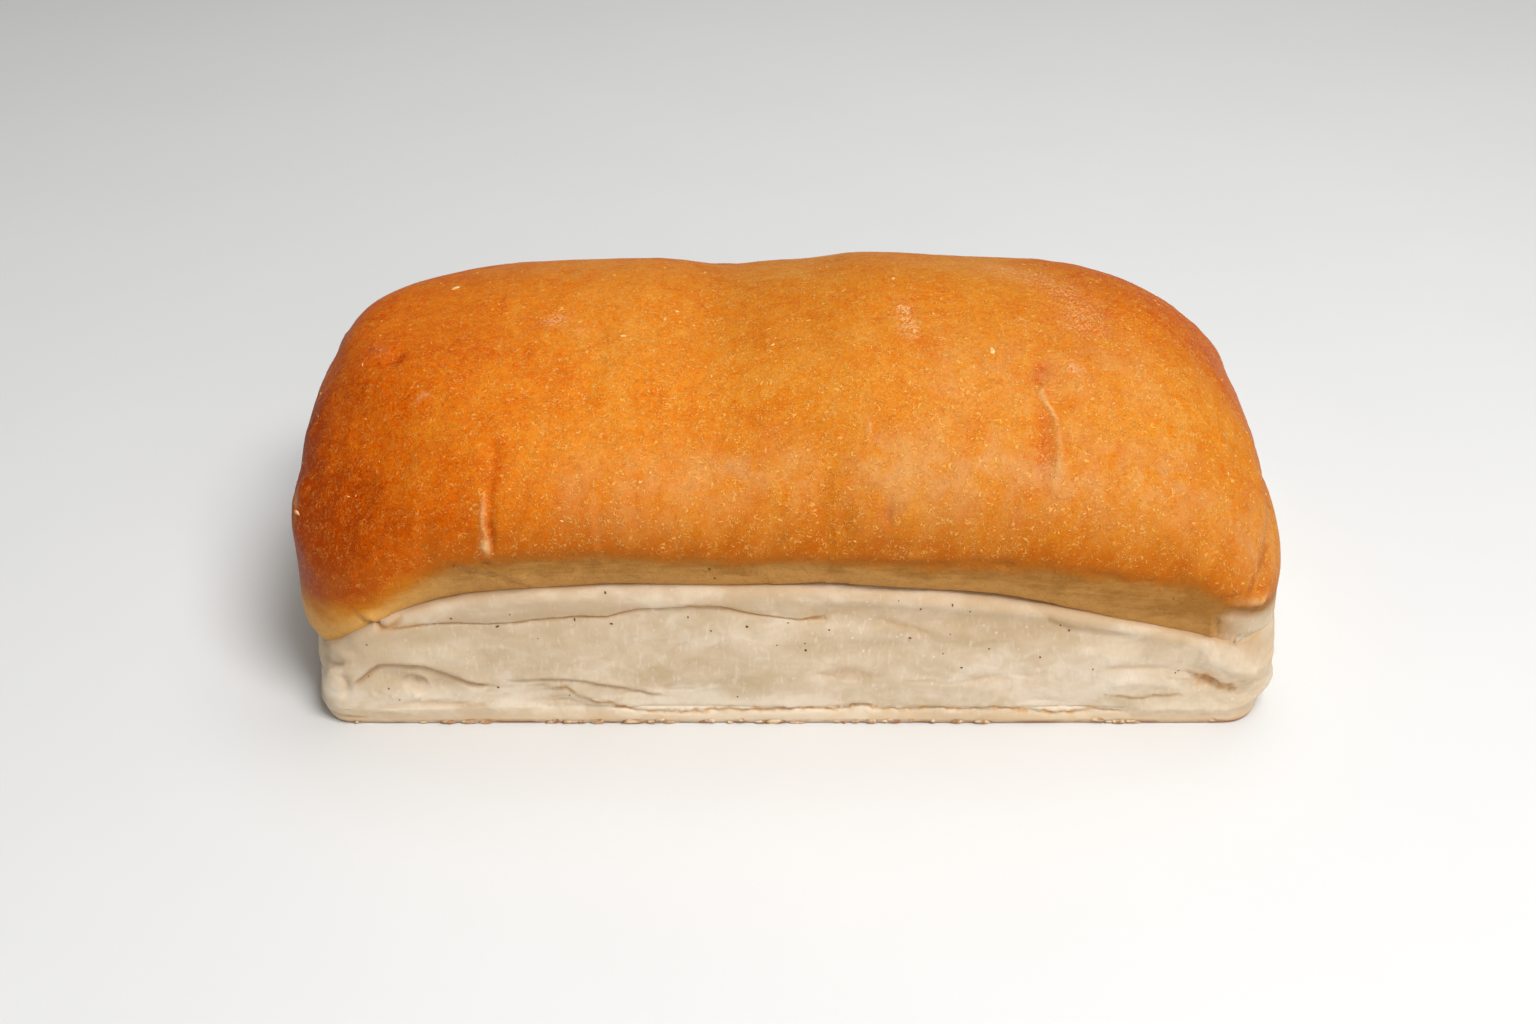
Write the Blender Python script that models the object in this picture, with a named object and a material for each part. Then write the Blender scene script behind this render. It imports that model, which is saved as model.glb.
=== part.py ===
"""A soft white loaf of bread: a golden crust that overhangs pale, folded sides.

The loaf is one solid. It starts as a box whose faces are cut into a grid, and every point of that grid is
then carried onto the loaf: the rows of the sides follow the folds of the dough, and the top is a dome.
Dents and wrinkles are then pressed in along the surface's own direction.
Metres, +Z up. The origin is under the middle of the loaf, X runs along it and the side shown faces -Y.
"""

import math

import bmesh
import bpy
import numpy as np

MM = 0.001

# Overall size.
LENGTH = 220 * MM
DEPTH = 119 * MM
HEIGHT = 81 * MM

# The grid: columns along and across the loaf, and the rows between one line of the side and the next.
COLUMNS_LONG = 52
COLUMNS_SHORT = 24
ROWS = (2, 2, 5, 4, 2, 2, 4, 6)

# The pale wall in plan, and the crust's corners, which are rounder at the left end.
CRUST_OVERHANG = 2.5 * MM
WALL_HALF_X = LENGTH / 2 - CRUST_OVERHANG
WALL_HALF_Y = DEPTH / 2 - CRUST_OVERHANG
WALL_CORNER = 8.5 * MM
LEFT_CRUST_CORNER = 20 * MM
RIGHT_CRUST_CORNER = 17.5 * MM

# The lines that run round the side, from the floor up. Each has, for the front, back, left and right,
# how far it stands out from the wall, and those near the floor their height too. All in mm.
FLOOR_OUT = (-0.2, -1.2, -4.8, -1.6)
STRIP_OUT = (0.7, 0.3, -1.1, 1.1)
STRIP_HEIGHT = (2.2, 2.4, 4.0, 6.0)
SEAM_OUT = (-0.1, -0.4, -1.4, 2.3)
SEAM_HEIGHT = (4.8, 5.0, 6.5, 9.0)
FACE_OUT = (1.2, 0.8, -1.9, 2.5)
LIP_OUT = (0.6, 0.6, -2.7, 1.8)
ROLL_OUT = (1.0, 0.6, -0.7, 2.6)
FOLD_OUT = (-2.8, -3.0, 0.4, 1.2)
BULGE_OUT = (2.5, 2.5, 3.8, 3.4)
BULGE_ABOVE_FOLD = (13, 13, 23, 8)
LIP_BELOW_FOLD = 6 * MM
LIP_CREASE = 1.0 * MM
UNDERSIDE_FULLNESS = (1, 1, 0.32, 0.5)

# The fold, where the crust tucks in over the wall: its highest point and how far it falls to each end.
FRONT_FOLD = dict(peak_at=-20 * MM, top=37 * MM, fall=15 * MM, reach=(80 * MM, 118 * MM), power=(4, 2.6))
BACK_FOLD = dict(peak_at=15 * MM, top=34 * MM, fall=13 * MM, reach=(105 * MM, 90 * MM), power=(3, 3))
LEFT_FOLD = dict(peak_at=10 * MM, top=22 * MM, fall=4 * MM, reach=(65 * MM, 45 * MM), power=(2, 2))
RIGHT_FOLD = dict(peak_at=0, top=27 * MM, fall=5 * MM, reach=(55 * MM, 45 * MM), power=(2, 2))

# The dome: how far its rounding reaches in from each end, and how full its sections are.
LEFT_ROUNDING = 24 * MM
RIGHT_ROUNDING = 31.5 * MM
LEFT_POWER = 0.4
RIGHT_POWER = 1.3
DEPTH_POWER = 0.98
RISE_POWER = 0.95
CORNER_POWER = 8
DOME_BASE = 47 * MM
DOME_SPLIT = math.radians(52)

# The crest: a dip left of the middle, and a fall towards each end.
CREST_DIP = 2.2 * MM
CREST_DIP_X = -17.5 * MM
CREST_DIP_REACH = 11.5 * MM
CREST_LEFT_STEP = 1.9 * MM
CREST_LEFT_FALL = 2.0 * MM
CREST_LEFT_FROM = -52 * MM
CREST_RIGHT_FALL = 5.2 * MM
CREST_RIGHT_FROM = 37 * MM
CREST_WAVE = 1.6 * MM
CREST_WAVE_LENGTH = 67 * MM
CREST_WAVE_PEAK_X = 24 * MM


# Creases and dents of the side shown: (x, z) points along each, then its half width and depth, all in mm.
CREASES = (
    (((-62, 68), (-64, 60), (-64, 52), (-62, 46)), 2.6, 1.1),
    (((7, 66), (8, 58), (7, 48)), 6.0, 0.8),
    (((58, 76), (59, 70), (60, 62), (58, 54)), 4.0, 0.9),
    (((-42, 76), (-47, 69)), 4.0, 0.5),
    (((105, 49), (102, 41), (98, 36)), 2.4, 1.1),
    (((-97, 12), (-92, 15), (-84, 15), (-74, 12)), 2.2, 0.8),
    (((-62, 12), (-50, 13), (-42, 12), (-28, 8)), 2.2, 0.7),
    (((70, 16), (86, 16)), 2.4, 0.5),
    (((89, 16), (96, 13), (102, 10)), 2.4, 0.8),
)

# The dough's unevenness: how many waves it is the sum of, their lengths and their height.
SWELL_SEED = 11
SWELL_WAVES = 7
SWELL_LENGTHS = (26 * MM, 70 * MM)
SWELL_HEIGHT = 0.22 * MM


def window(value, low, high, soft):
    """1 between low and high, falling smoothly to 0 over soft on either side."""
    rise = np.clip((value - low) / soft + 0.5, 0, 1)
    fall = np.clip((high - value) / soft + 0.5, 0, 1)
    return rise * rise * (3 - 2 * rise) * fall * fall * (3 - 2 * fall)


def fold_height(along, peak_at, top, fall, reach, power):
    """Height of a fold at each place along it: top at peak_at, and lower by fall at each reach."""
    low = np.clip((peak_at - along) / reach[0], 0, None) ** power[0]
    high = np.clip((along - peak_at) / reach[1], 0, None) ** power[1]
    return top - fall * (low + high)


def rounded_rectangle(u, v, half_x, half_y, corner):
    """The point and outward normal, on a rounded rectangle, of a point (u, v) of the unit square's edge.

    Each side of the square is laid along its side of the rectangle, out to the middle of both corners.
    """
    corner = np.minimum(corner, np.minimum(half_x, half_y))
    safe = np.maximum(corner, 1e-9)
    eighth = math.pi / 4
    on_long_side = np.abs(v) >= np.abs(u)

    def side(share, half):
        """How far along the side's straight, and the angle turned round its corner."""
        straight = half - corner
        run = np.abs(share) * (straight + corner * eighth)
        return np.minimum(run, straight), np.clip((run - straight) / safe, 0, eighth)

    run_x, turn_x = side(u, half_x)
    run_y, turn_y = side(v, half_y)
    sin_x, cos_x = np.sin(turn_x), np.cos(turn_x)
    sin_y, cos_y = np.sin(turn_y), np.cos(turn_y)
    x = np.where(on_long_side, run_x + corner * sin_x, half_x - corner + corner * cos_y)
    y = np.where(on_long_side, half_y - corner + corner * cos_x, run_y + corner * sin_y)
    normal_x = np.where(on_long_side, sin_x, cos_y)
    normal_y = np.where(on_long_side, cos_x, sin_y)
    sign_x, sign_y = np.where(u < 0, -1, 1), np.where(v < 0, -1, 1)
    return x * sign_x, y * sign_y, normal_x * sign_x, normal_y * sign_y


class Place:
    """Where a column of the side stands: its point in plan, and how much it faces each way."""

    def __init__(self, u, v, corner):
        self.x, self.y, self.nx, self.ny = rounded_rectangle(
            u, v, WALL_HALF_X, WALL_HALF_Y, corner
        )
        self.front = np.clip(-self.ny, 0, 1) ** 2
        self.back = np.clip(self.ny, 0, 1) ** 2
        self.left = np.clip(-self.nx, 0, 1) ** 2
        self.right = np.clip(self.nx, 0, 1) ** 2

    def mix(self, sides):
        """One value from those of the front, back, left and right, blended round the corners."""
        front, back, left, right = sides
        return front * self.front + back * self.back + left * self.left + right * self.right

    def mix_mm(self, sides):
        return self.mix(sides) * MM


def side_lines(at):
    """(height, offset) of each line of the side, from the floor up. Lines 2, 4 and 6 are folds."""
    long_folds = (fold_height(at.x, **FRONT_FOLD), fold_height(at.x, **BACK_FOLD))
    short_folds = (fold_height(at.y, **LEFT_FOLD), fold_height(at.y, **RIGHT_FOLD))
    fold_z = at.mix(long_folds + short_folds)
    seam_z = at.mix_mm(SEAM_HEIGHT)
    lip_z = fold_z - LIP_BELOW_FOLD
    creased = window(at.x, -84 * MM, 12 * MM, 16 * MM) * at.front
    return [
        (np.zeros_like(at.x), at.mix_mm(FLOOR_OUT)),
        (at.mix_mm(STRIP_HEIGHT), at.mix_mm(STRIP_OUT)),
        (seam_z, at.mix_mm(SEAM_OUT)),
        ((seam_z + lip_z) / 2, at.mix_mm(FACE_OUT)),
        (lip_z, at.mix_mm(LIP_OUT) - LIP_CREASE * creased),
        (fold_z - LIP_BELOW_FOLD / 2, at.mix_mm(ROLL_OUT)),
        (fold_z, at.mix_mm(FOLD_OUT)),
        (fold_z + at.mix_mm(BULGE_ABOVE_FOLD), at.mix_mm(BULGE_OUT)),
    ]


# Whether the arc from each line to the next leaves a fold (True) or closes into one (False).
LEAVES_FOLD = (True, False, True, False, True, False, True)


def crest_height(x):
    """Height of the top along the loaf."""
    dip = CREST_DIP * np.exp(-(((x - CREST_DIP_X) / CREST_DIP_REACH) ** 2))
    step = CREST_LEFT_STEP * window(x, -1, -2 * MM, 34 * MM)
    left_fall = CREST_LEFT_FALL * np.clip((CREST_LEFT_FROM - x) / (30 * MM), 0, None) ** 1.5
    right_fall = CREST_RIGHT_FALL * np.clip((x - CREST_RIGHT_FROM) / (50 * MM), 0, None) ** 2
    turn = (x - CREST_WAVE_PEAK_X) * (2 * math.pi / CREST_WAVE_LENGTH)
    wave = CREST_WAVE * np.cos(turn) * window(x, 5 * MM, 1, 20 * MM)
    return HEIGHT - dip - step - left_fall - right_fall + wave


def crust_corner(x):
    """Corner radius in plan at the crust's widest line, which differs between the two ends."""
    return np.where(x < 0, LEFT_CRUST_CORNER, RIGHT_CRUST_CORNER)


def dome_ring(angle, x):
    """Middle, half sizes and corner radius of the ring at this angle up the dome, on this side in x."""
    cosine = np.cos(angle)
    left = WALL_HALF_X - LEFT_ROUNDING * (1 - cosine**LEFT_POWER)
    right = WALL_HALF_X - RIGHT_ROUNDING * (1 - cosine**RIGHT_POWER)
    half_y = WALL_HALF_Y * cosine**DEPTH_POWER
    share = crust_corner(x) / WALL_HALF_Y
    corner = half_y * (share + (1 - share) * (1 - cosine**CORNER_POWER))
    return (right - left) / 2, (right + left) / 2, half_y, corner


def dome_height(base, x, angle):
    return base + (crest_height(x) - base) * np.sin(angle) ** RISE_POWER


def side_points(u, v, row):
    """Points of the side: row counts rows up from the floor, and the last rows are the dome's rings."""
    to_crust = window(row, sum(ROWS[:5]), 1e9, sum(ROWS[:7]) - sum(ROWS[:5]))
    at = Place(u, v, WALL_CORNER + (crust_corner(u) - WALL_CORNER) * to_crust)
    lines = side_lines(at)
    x, y, z = (np.zeros_like(u) for _ in range(3))
    start = 0
    fullness = np.where(row < sum(ROWS[:6]), 1, at.mix(UNDERSIDE_FULLNESS))
    for band, count in enumerate(ROWS[:-1]):
        share = np.clip((row - start) / count, 0, 1)
        inside = (row >= start) & (row <= start + count)
        (z_low, out_low), (z_high, out_high) = lines[band], lines[band + 1]
        turn = share * math.pi / 2
        if LEAVES_FOLD[band]:
            out = out_low + (out_high - out_low) * np.sin(turn) ** fullness
            height = z_low + (z_high - z_low) * (1 - np.cos(turn))
        else:
            out = out_high + (out_low - out_high) * np.cos(turn)
            height = z_low + (z_high - z_low) * np.sin(turn)
        x = np.where(inside, at.x + out * at.nx, x)
        y = np.where(inside, at.y + out * at.ny, y)
        z = np.where(inside, height, z)
        start += count
    inside = row >= start
    bulge_z, bulge_out = lines[-1]
    angle = np.clip((row - start) / ROWS[-1], 0, 1) * DOME_SPLIT
    middle, half_x, half_y, corner = dome_ring(angle, u)
    ring_x, ring_y, _, _ = rounded_rectangle(u, v, half_x, half_y, corner)
    bulge_share = np.cos(angle * (math.pi / 2 / DOME_SPLIT)) ** 2
    ring_x = ring_x + middle + bulge_out * at.nx * bulge_share
    ring_y = ring_y + bulge_out * at.ny * bulge_share
    base = DOME_BASE + (bulge_z - DOME_BASE) * bulge_share
    x = np.where(inside, ring_x, x)
    y = np.where(inside, ring_y, y)
    z = np.where(inside, dome_height(base, ring_x, angle), z)
    return x, y, z


def patch_points(u, v, edge):
    """Points in plan inside the square, blended from edge(u, v), its points on the square's four sides."""
    one = np.ones_like(u)
    s, t = (u + 1) / 2, (v + 1) / 2
    across = (1 - t) * edge(u, -one) + t * edge(u, one)
    along = (1 - s) * edge(-one, v) + s * edge(one, v)
    corners = (1 - s) * (1 - t) * edge(-one, -one) + s * (1 - t) * edge(one, -one)
    corners += (1 - s) * t * edge(-one, one) + s * t * edge(one, one)
    return across + along - corners


def dome_angle(x, y):
    """The angle of the dome's ring that passes through (x, y), found by halving."""
    low, high = np.zeros_like(x), np.full_like(x, math.pi / 2)
    for _ in range(40):
        angle = (low + high) / 2
        middle, half_x, half_y, corner = dome_ring(angle, x - dome_ring(angle, x)[0])
        past_x = np.abs(x - middle) - half_x + corner
        past_y = np.abs(y) - half_y + corner
        reach = np.hypot(np.maximum(past_x, 0), np.maximum(past_y, 0))
        outside = reach + np.minimum(np.maximum(past_x, past_y), 0) > corner
        high = np.where(outside, angle, high)
        low = np.where(outside, low, angle)
    return (low + high) / 2


def top_points(u, v):
    """Points of the dome above its last ring."""

    def last_ring(a, b):
        return np.stack(side_points(a, b, np.full_like(a, float(sum(ROWS))))[:2])

    x, y = patch_points(u, v, last_ring)
    return x, y, dome_height(DOME_BASE, x, dome_angle(x, y))


def crease_depth(x, z):
    """How far the creases press the side shown in, at each (x, z)."""
    depth = np.zeros_like(x)
    for path, half_width, deepest in CREASES:
        corners = np.array(path) * MM
        nearest = np.full_like(x, np.inf)
        for start, end in zip(corners[:-1], corners[1:]):
            run = end - start
            along = (x - start[0]) * run[0] + (z - start[1]) * run[1]
            share = np.clip(along / (run @ run), 0, 1)
            gap = np.hypot(x - start[0] - share * run[0], z - start[1] - share * run[1])
            nearest = np.minimum(nearest, gap)
        depth += deepest * MM * np.exp(-((nearest / (half_width * MM)) ** 2))
    return depth


def swell(points):
    """The dough's unevenness at each point, outwards: a sum of waves that run every way."""
    rng = np.random.default_rng(SWELL_SEED)
    total = np.zeros(len(points))
    for _ in range(SWELL_WAVES):
        heading = rng.normal(size=3)
        heading /= np.linalg.norm(heading)
        length = rng.uniform(*SWELL_LENGTHS)
        turn = rng.uniform(0, 2 * math.pi)
        total += np.sin(points @ heading * (2 * math.pi / length) + turn)
    return total * SWELL_HEIGHT


def relief(points):
    """How far each point stands out from the smooth loaf. The floor stays flat."""
    x, y, z = points.T
    faces_front = window(y, -1, -32 * MM, 12 * MM)
    out = swell(points) - crease_depth(x, z) * faces_front
    return out * np.clip(z / (3 * MM), 0, 1)


def loaf_points(grid):
    """Carries grid points, from -1 to 1 in each direction, onto the loaf."""
    u, v, w = grid.T
    row = (w + 1) / 2 * sum(ROWS)
    on_side = np.maximum(np.abs(u), np.abs(v)) > 1 - 1e-6
    on_top = ~on_side & (w > 0)
    points = np.empty_like(grid)
    points[on_side] = np.stack(side_points(u[on_side], v[on_side], row[on_side]), 1)
    points[on_top] = np.stack(top_points(u[on_top], v[on_top]), 1)
    return points


def grid_box(cuts):
    """A unit box whose faces are cut into a grid, as a bmesh; its floor is left whole."""
    box = bmesh.new()
    bmesh.ops.create_cube(box, size=2)
    for axis, count in enumerate(cuts):
        along = [
            e for e in box.edges
            if abs(e.verts[0].co[axis] - e.verts[1].co[axis]) > 1e-6
        ]
        bmesh.ops.subdivide_edges(box, edges=along, cuts=count - 1, use_grid_fill=True)
    floor = [f for f in box.faces if all(v.co.z < -1 + 1e-6 for v in f.verts)]
    bmesh.ops.dissolve_faces(box, faces=floor, use_verts=False)
    return box


def crust_material():
    material = bpy.data.materials.new("crust")
    material.use_nodes = True
    shader = material.node_tree.nodes["Principled BSDF"]
    shader.inputs["Base Color"].default_value = (0.72, 0.30, 0.06, 1)
    shader.inputs["Roughness"].default_value = 0.5
    shader.inputs["Metallic"].default_value = 0
    return material


def move_vertices(box, points):
    for vertex, point in zip(box.verts, points):
        vertex.co = point


def make_loaf():
    box = grid_box((COLUMNS_LONG, COLUMNS_SHORT, sum(ROWS)))
    points = loaf_points(np.array([v.co for v in box.verts]))
    move_vertices(box, points)
    bmesh.ops.recalc_face_normals(box, faces=box.faces)
    box.normal_update()
    normals = np.array([v.normal for v in box.verts])
    points += normals * relief(points)[:, None]
    middle = (points.min(axis=0) + points.max(axis=0)) / 2
    points[:, :2] -= middle[:2]
    move_vertices(box, points)
    mesh = bpy.data.meshes.new("loaf")
    box.to_mesh(mesh)
    box.free()
    mesh.materials.append(crust_material())
    mesh.shade_smooth()
    return bpy.data.objects.new("loaf", mesh)


def main():
    for old in list(bpy.data.objects):
        bpy.data.objects.remove(old)
    collection = bpy.data.collections.new("bread_loaf")
    bpy.context.scene.collection.children.link(collection)
    collection.objects.link(make_loaf())


main()
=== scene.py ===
"""The looks of a soft white loaf: its skin in fine relief, its colours, and the light it stands in."""

import math
from collections import namedtuple

import bmesh
import bpy
import numpy as np
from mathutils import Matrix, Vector, kdtree, noise


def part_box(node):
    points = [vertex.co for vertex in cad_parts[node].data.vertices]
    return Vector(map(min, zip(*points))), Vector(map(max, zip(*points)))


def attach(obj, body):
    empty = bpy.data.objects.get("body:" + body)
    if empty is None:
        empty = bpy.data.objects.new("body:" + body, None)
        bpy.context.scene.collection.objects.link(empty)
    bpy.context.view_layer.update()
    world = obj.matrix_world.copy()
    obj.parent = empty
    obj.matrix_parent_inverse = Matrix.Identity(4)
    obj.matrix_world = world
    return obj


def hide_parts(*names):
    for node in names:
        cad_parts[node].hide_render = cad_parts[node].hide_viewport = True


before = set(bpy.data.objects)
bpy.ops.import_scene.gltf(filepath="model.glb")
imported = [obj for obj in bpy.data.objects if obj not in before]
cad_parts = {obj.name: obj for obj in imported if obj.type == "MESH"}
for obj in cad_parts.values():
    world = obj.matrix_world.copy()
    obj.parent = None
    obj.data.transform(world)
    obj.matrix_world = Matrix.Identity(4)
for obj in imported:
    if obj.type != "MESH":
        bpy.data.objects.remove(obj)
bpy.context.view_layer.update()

MM = 0.001
# Nearer than this, numbers of the unit grid, and heights above the floor in metres, count as the same.
TOLERANCE = 1e-6


def add_object(name, data):
    """A new object in the scene."""
    thing = bpy.data.objects.new(name, data)
    bpy.context.scene.collection.objects.link(thing)
    return thing


# ---- The loaf's form, with the same sizes as the part ----
LENGTH = 220 * MM
DEPTH = 119 * MM
HEIGHT = 81 * MM
ROWS = (2, 2, 5, 4, 2, 2, 4, 6)
CRUST_OVERHANG = 2.5 * MM
WALL_HALF_X = LENGTH / 2 - CRUST_OVERHANG
WALL_HALF_Y = DEPTH / 2 - CRUST_OVERHANG
WALL_CORNER = 8.5 * MM
LEFT_CRUST_CORNER = 20 * MM
RIGHT_CRUST_CORNER = 17.5 * MM

# For the front, back, left and right, in mm.
FLOOR_OUT = (-0.2, -1.2, -4.8, -1.6)
STRIP_OUT = (0.7, 0.3, -1.1, 1.1)
STRIP_HEIGHT = (2.2, 2.4, 4.0, 6.0)
SEAM_OUT = (-0.1, -0.4, -1.4, 2.3)
SEAM_HEIGHT = (4.8, 5.0, 6.5, 9.0)
FACE_OUT = (1.2, 0.8, -1.9, 2.5)
LIP_OUT = (0.6, 0.6, -2.7, 1.8)
ROLL_OUT = (1.0, 0.6, -0.7, 2.6)
FOLD_OUT = (-2.8, -3.0, 0.4, 1.2)
BULGE_OUT = (2.5, 2.5, 3.8, 3.4)
BULGE_ABOVE_FOLD = (13, 13, 23, 8)
LIP_BELOW_FOLD = 6 * MM
LIP_CREASE = 1.0 * MM
UNDERSIDE_FULLNESS = (1, 1, 0.32, 0.5)

FRONT_FOLD = dict(peak_at=-20 * MM, top=37 * MM, fall=15 * MM, reach=(80 * MM, 118 * MM), power=(4, 2.6))
BACK_FOLD = dict(peak_at=15 * MM, top=34 * MM, fall=13 * MM, reach=(105 * MM, 90 * MM), power=(3, 3))
LEFT_FOLD = dict(peak_at=10 * MM, top=22 * MM, fall=4 * MM, reach=(65 * MM, 45 * MM), power=(2, 2))
RIGHT_FOLD = dict(peak_at=0, top=27 * MM, fall=5 * MM, reach=(55 * MM, 45 * MM), power=(2, 2))

LEFT_ROUNDING = 24 * MM
RIGHT_ROUNDING = 31.5 * MM
LEFT_POWER = 0.4
RIGHT_POWER = 1.3
DEPTH_POWER = 0.98
RISE_POWER = 0.95
CORNER_POWER = 8
DOME_BASE = 47 * MM
DOME_SPLIT = math.radians(52)

CREST_DIP = 2.2 * MM
CREST_DIP_X = -17.5 * MM
CREST_DIP_REACH = 11.5 * MM
CREST_LEFT_STEP = 1.9 * MM
CREST_LEFT_FALL = 2.0 * MM
CREST_LEFT_FROM = -52 * MM
CREST_RIGHT_FALL = 5.2 * MM
CREST_RIGHT_FROM = 37 * MM
CREST_WAVE = 1.6 * MM
CREST_WAVE_LENGTH = 67 * MM
CREST_WAVE_PEAK_X = 24 * MM

SWELL_SEED = 11
SWELL_WAVES = 7
SWELL_LENGTHS = (26 * MM, 70 * MM)
SWELL_HEIGHT = 0.22 * MM


def past(value, edge, soft):
    """0 before an edge and 1 past it, rising smoothly over soft."""
    rise = np.clip((value - edge) / soft + 0.5, 0, 1)
    return rise * rise * (3 - 2 * rise)


def window(value, low, high, soft):
    """1 between low and high, falling smoothly to 0 over soft on either side."""
    return past(value, low, soft) * past(-value, -high, soft)


def bell(value, reach=1.0):
    """1 where the value is 0, falling smoothly to nothing past about twice the reach on either side."""
    return np.exp(-((value / reach) ** 2))


def fold_height(along, peak_at, top, fall, reach, power):
    """Height of a fold at each place along it: top at peak_at, and lower by fall at each reach."""
    low = np.clip((peak_at - along) / reach[0], 0, None) ** power[0]
    high = np.clip((along - peak_at) / reach[1], 0, None) ** power[1]
    return top - fall * (low + high)


def rounded_rectangle(u, v, half_x, half_y, corner):
    """The point and outward normal, on a rounded rectangle, of a point (u, v) of the unit square's edge.

    Each side of the square is laid along its side of the rectangle, out to the middle of both corners.
    """
    corner = np.minimum(corner, np.minimum(half_x, half_y))
    eighth = math.pi / 4
    on_long_side = np.abs(v) >= np.abs(u)

    def side(share, half):
        """How far along the side's straight, and the angle turned round its corner."""
        straight = half - corner
        run = np.abs(share) * (straight + corner * eighth)
        return np.minimum(run, straight), np.clip((run - straight) / np.maximum(corner, 1e-9), 0, eighth)

    run_x, turn_x = side(u, half_x)
    run_y, turn_y = side(v, half_y)
    sin_x, cos_x = np.sin(turn_x), np.cos(turn_x)
    sin_y, cos_y = np.sin(turn_y), np.cos(turn_y)
    x = np.where(on_long_side, run_x + corner * sin_x, half_x - corner + corner * cos_y)
    y = np.where(on_long_side, half_y - corner + corner * cos_x, run_y + corner * sin_y)
    normal_x = np.where(on_long_side, sin_x, cos_y)
    normal_y = np.where(on_long_side, cos_x, sin_y)
    sign_x, sign_y = np.where(u < 0, -1, 1), np.where(v < 0, -1, 1)
    return x * sign_x, y * sign_y, normal_x * sign_x, normal_y * sign_y


class Place:
    """Where a column of the side stands: its point in plan, and how much it faces each way."""

    def __init__(self, u, v, corner):
        self.x, self.y, self.nx, self.ny = rounded_rectangle(u, v, WALL_HALF_X, WALL_HALF_Y, corner)
        self.front = np.clip(-self.ny, 0, 1) ** 2
        self.back = np.clip(self.ny, 0, 1) ** 2
        self.left = np.clip(-self.nx, 0, 1) ** 2
        self.right = np.clip(self.nx, 0, 1) ** 2

    def mix(self, sides):
        """One value from those of the front, back, left and right, blended round the corners."""
        front, back, left, right = sides
        return front * self.front + back * self.back + left * self.left + right * self.right

    def mix_mm(self, sides):
        return self.mix(sides) * MM


# The crease under the roll that the front's fold rests on, as (x, z) in mm.
LIP_PATH = ((-88, 26.5), (-78, 28), (-65, 28), (-56, 29), (-46, 30), (-39, 30), (-33, 32), (-25, 33),
            (-14, 33), (-8, 31), (3, 29), (10, 29))
# Paths' x is counted from here: this far from the middle of the loaf.
PATHS_FROM_X = -1.2 * MM
# The front is creased between the first two of these, with soft ends as long as the third.
CREASED_X = (-84 * MM, 12 * MM, 16 * MM)
# Places of two of the side's lines in side_lines.
SEAM_LINE, LIP_LINE = 2, 4


def fold_line(at):
    """Height of the fold under the crust."""
    long_folds = (fold_height(at.x, **FRONT_FOLD), fold_height(at.x, **BACK_FOLD))
    short_folds = (fold_height(at.y, **LEFT_FOLD), fold_height(at.y, **RIGHT_FOLD))
    return at.mix(long_folds + short_folds)


def side_lines(at):
    """(height, offset) of each line of the side, from the floor up. Lines 2, 4 and 6 are folds."""
    fold_z = fold_line(at)
    seam_z = at.mix_mm(SEAM_HEIGHT)
    lip_z = fold_z - LIP_BELOW_FOLD
    creased = window(at.x, *CREASED_X) * at.front
    lip_x, lip_path_z = np.array(LIP_PATH).T * MM
    lip_z = lip_z + creased * (np.interp(at.x, lip_x + PATHS_FROM_X, lip_path_z) - lip_z)
    return [
        (np.zeros_like(at.x), at.mix_mm(FLOOR_OUT)),
        (at.mix_mm(STRIP_HEIGHT), at.mix_mm(STRIP_OUT)),
        (seam_z, at.mix_mm(SEAM_OUT)),
        ((seam_z + lip_z) / 2, at.mix_mm(FACE_OUT)),
        (lip_z, at.mix_mm(LIP_OUT) - LIP_CREASE * creased),
        (fold_z - LIP_BELOW_FOLD / 2, at.mix_mm(ROLL_OUT)),
        (fold_z, at.mix_mm(FOLD_OUT)),
        (fold_z + at.mix_mm(BULGE_ABOVE_FOLD), at.mix_mm(BULGE_OUT)),
    ]


# Whether the arc from each line to the next leaves a fold (True) or closes into one (False).
LEAVES_FOLD = (True, False, True, False, True, False, True)


def crest_height(x):
    """Height of the top along the loaf."""
    dip = CREST_DIP * bell(x - CREST_DIP_X, CREST_DIP_REACH)
    step = CREST_LEFT_STEP * past(-x, 2 * MM, 34 * MM)
    left_fall = CREST_LEFT_FALL * np.clip((CREST_LEFT_FROM - x) / (30 * MM), 0, None) ** 1.5
    right_fall = CREST_RIGHT_FALL * np.clip((x - CREST_RIGHT_FROM) / (50 * MM), 0, None) ** 2
    turn = (x - CREST_WAVE_PEAK_X) * (2 * math.pi / CREST_WAVE_LENGTH)
    wave = CREST_WAVE * np.cos(turn) * past(x, 5 * MM, 20 * MM)
    return HEIGHT - dip - step - left_fall - right_fall + wave


def crust_corner(x):
    """Corner radius in plan at the crust's widest line, which differs between the two ends."""
    return np.where(x < 0, LEFT_CRUST_CORNER, RIGHT_CRUST_CORNER)


def dome_ring(angle, x):
    """Middle, half sizes and corner radius of the ring at this angle up the dome, on this side in x."""
    cosine = np.cos(angle)
    left = WALL_HALF_X - LEFT_ROUNDING * (1 - cosine**LEFT_POWER)
    right = WALL_HALF_X - RIGHT_ROUNDING * (1 - cosine**RIGHT_POWER)
    half_y = WALL_HALF_Y * cosine**DEPTH_POWER
    share = crust_corner(x) / WALL_HALF_Y
    corner = half_y * (share + (1 - share) * (1 - cosine**CORNER_POWER))
    return (right - left) / 2, (right + left) / 2, half_y, corner


def dome_height(base, x, angle):
    return base + (crest_height(x) - base) * np.sin(angle) ** RISE_POWER


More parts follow.
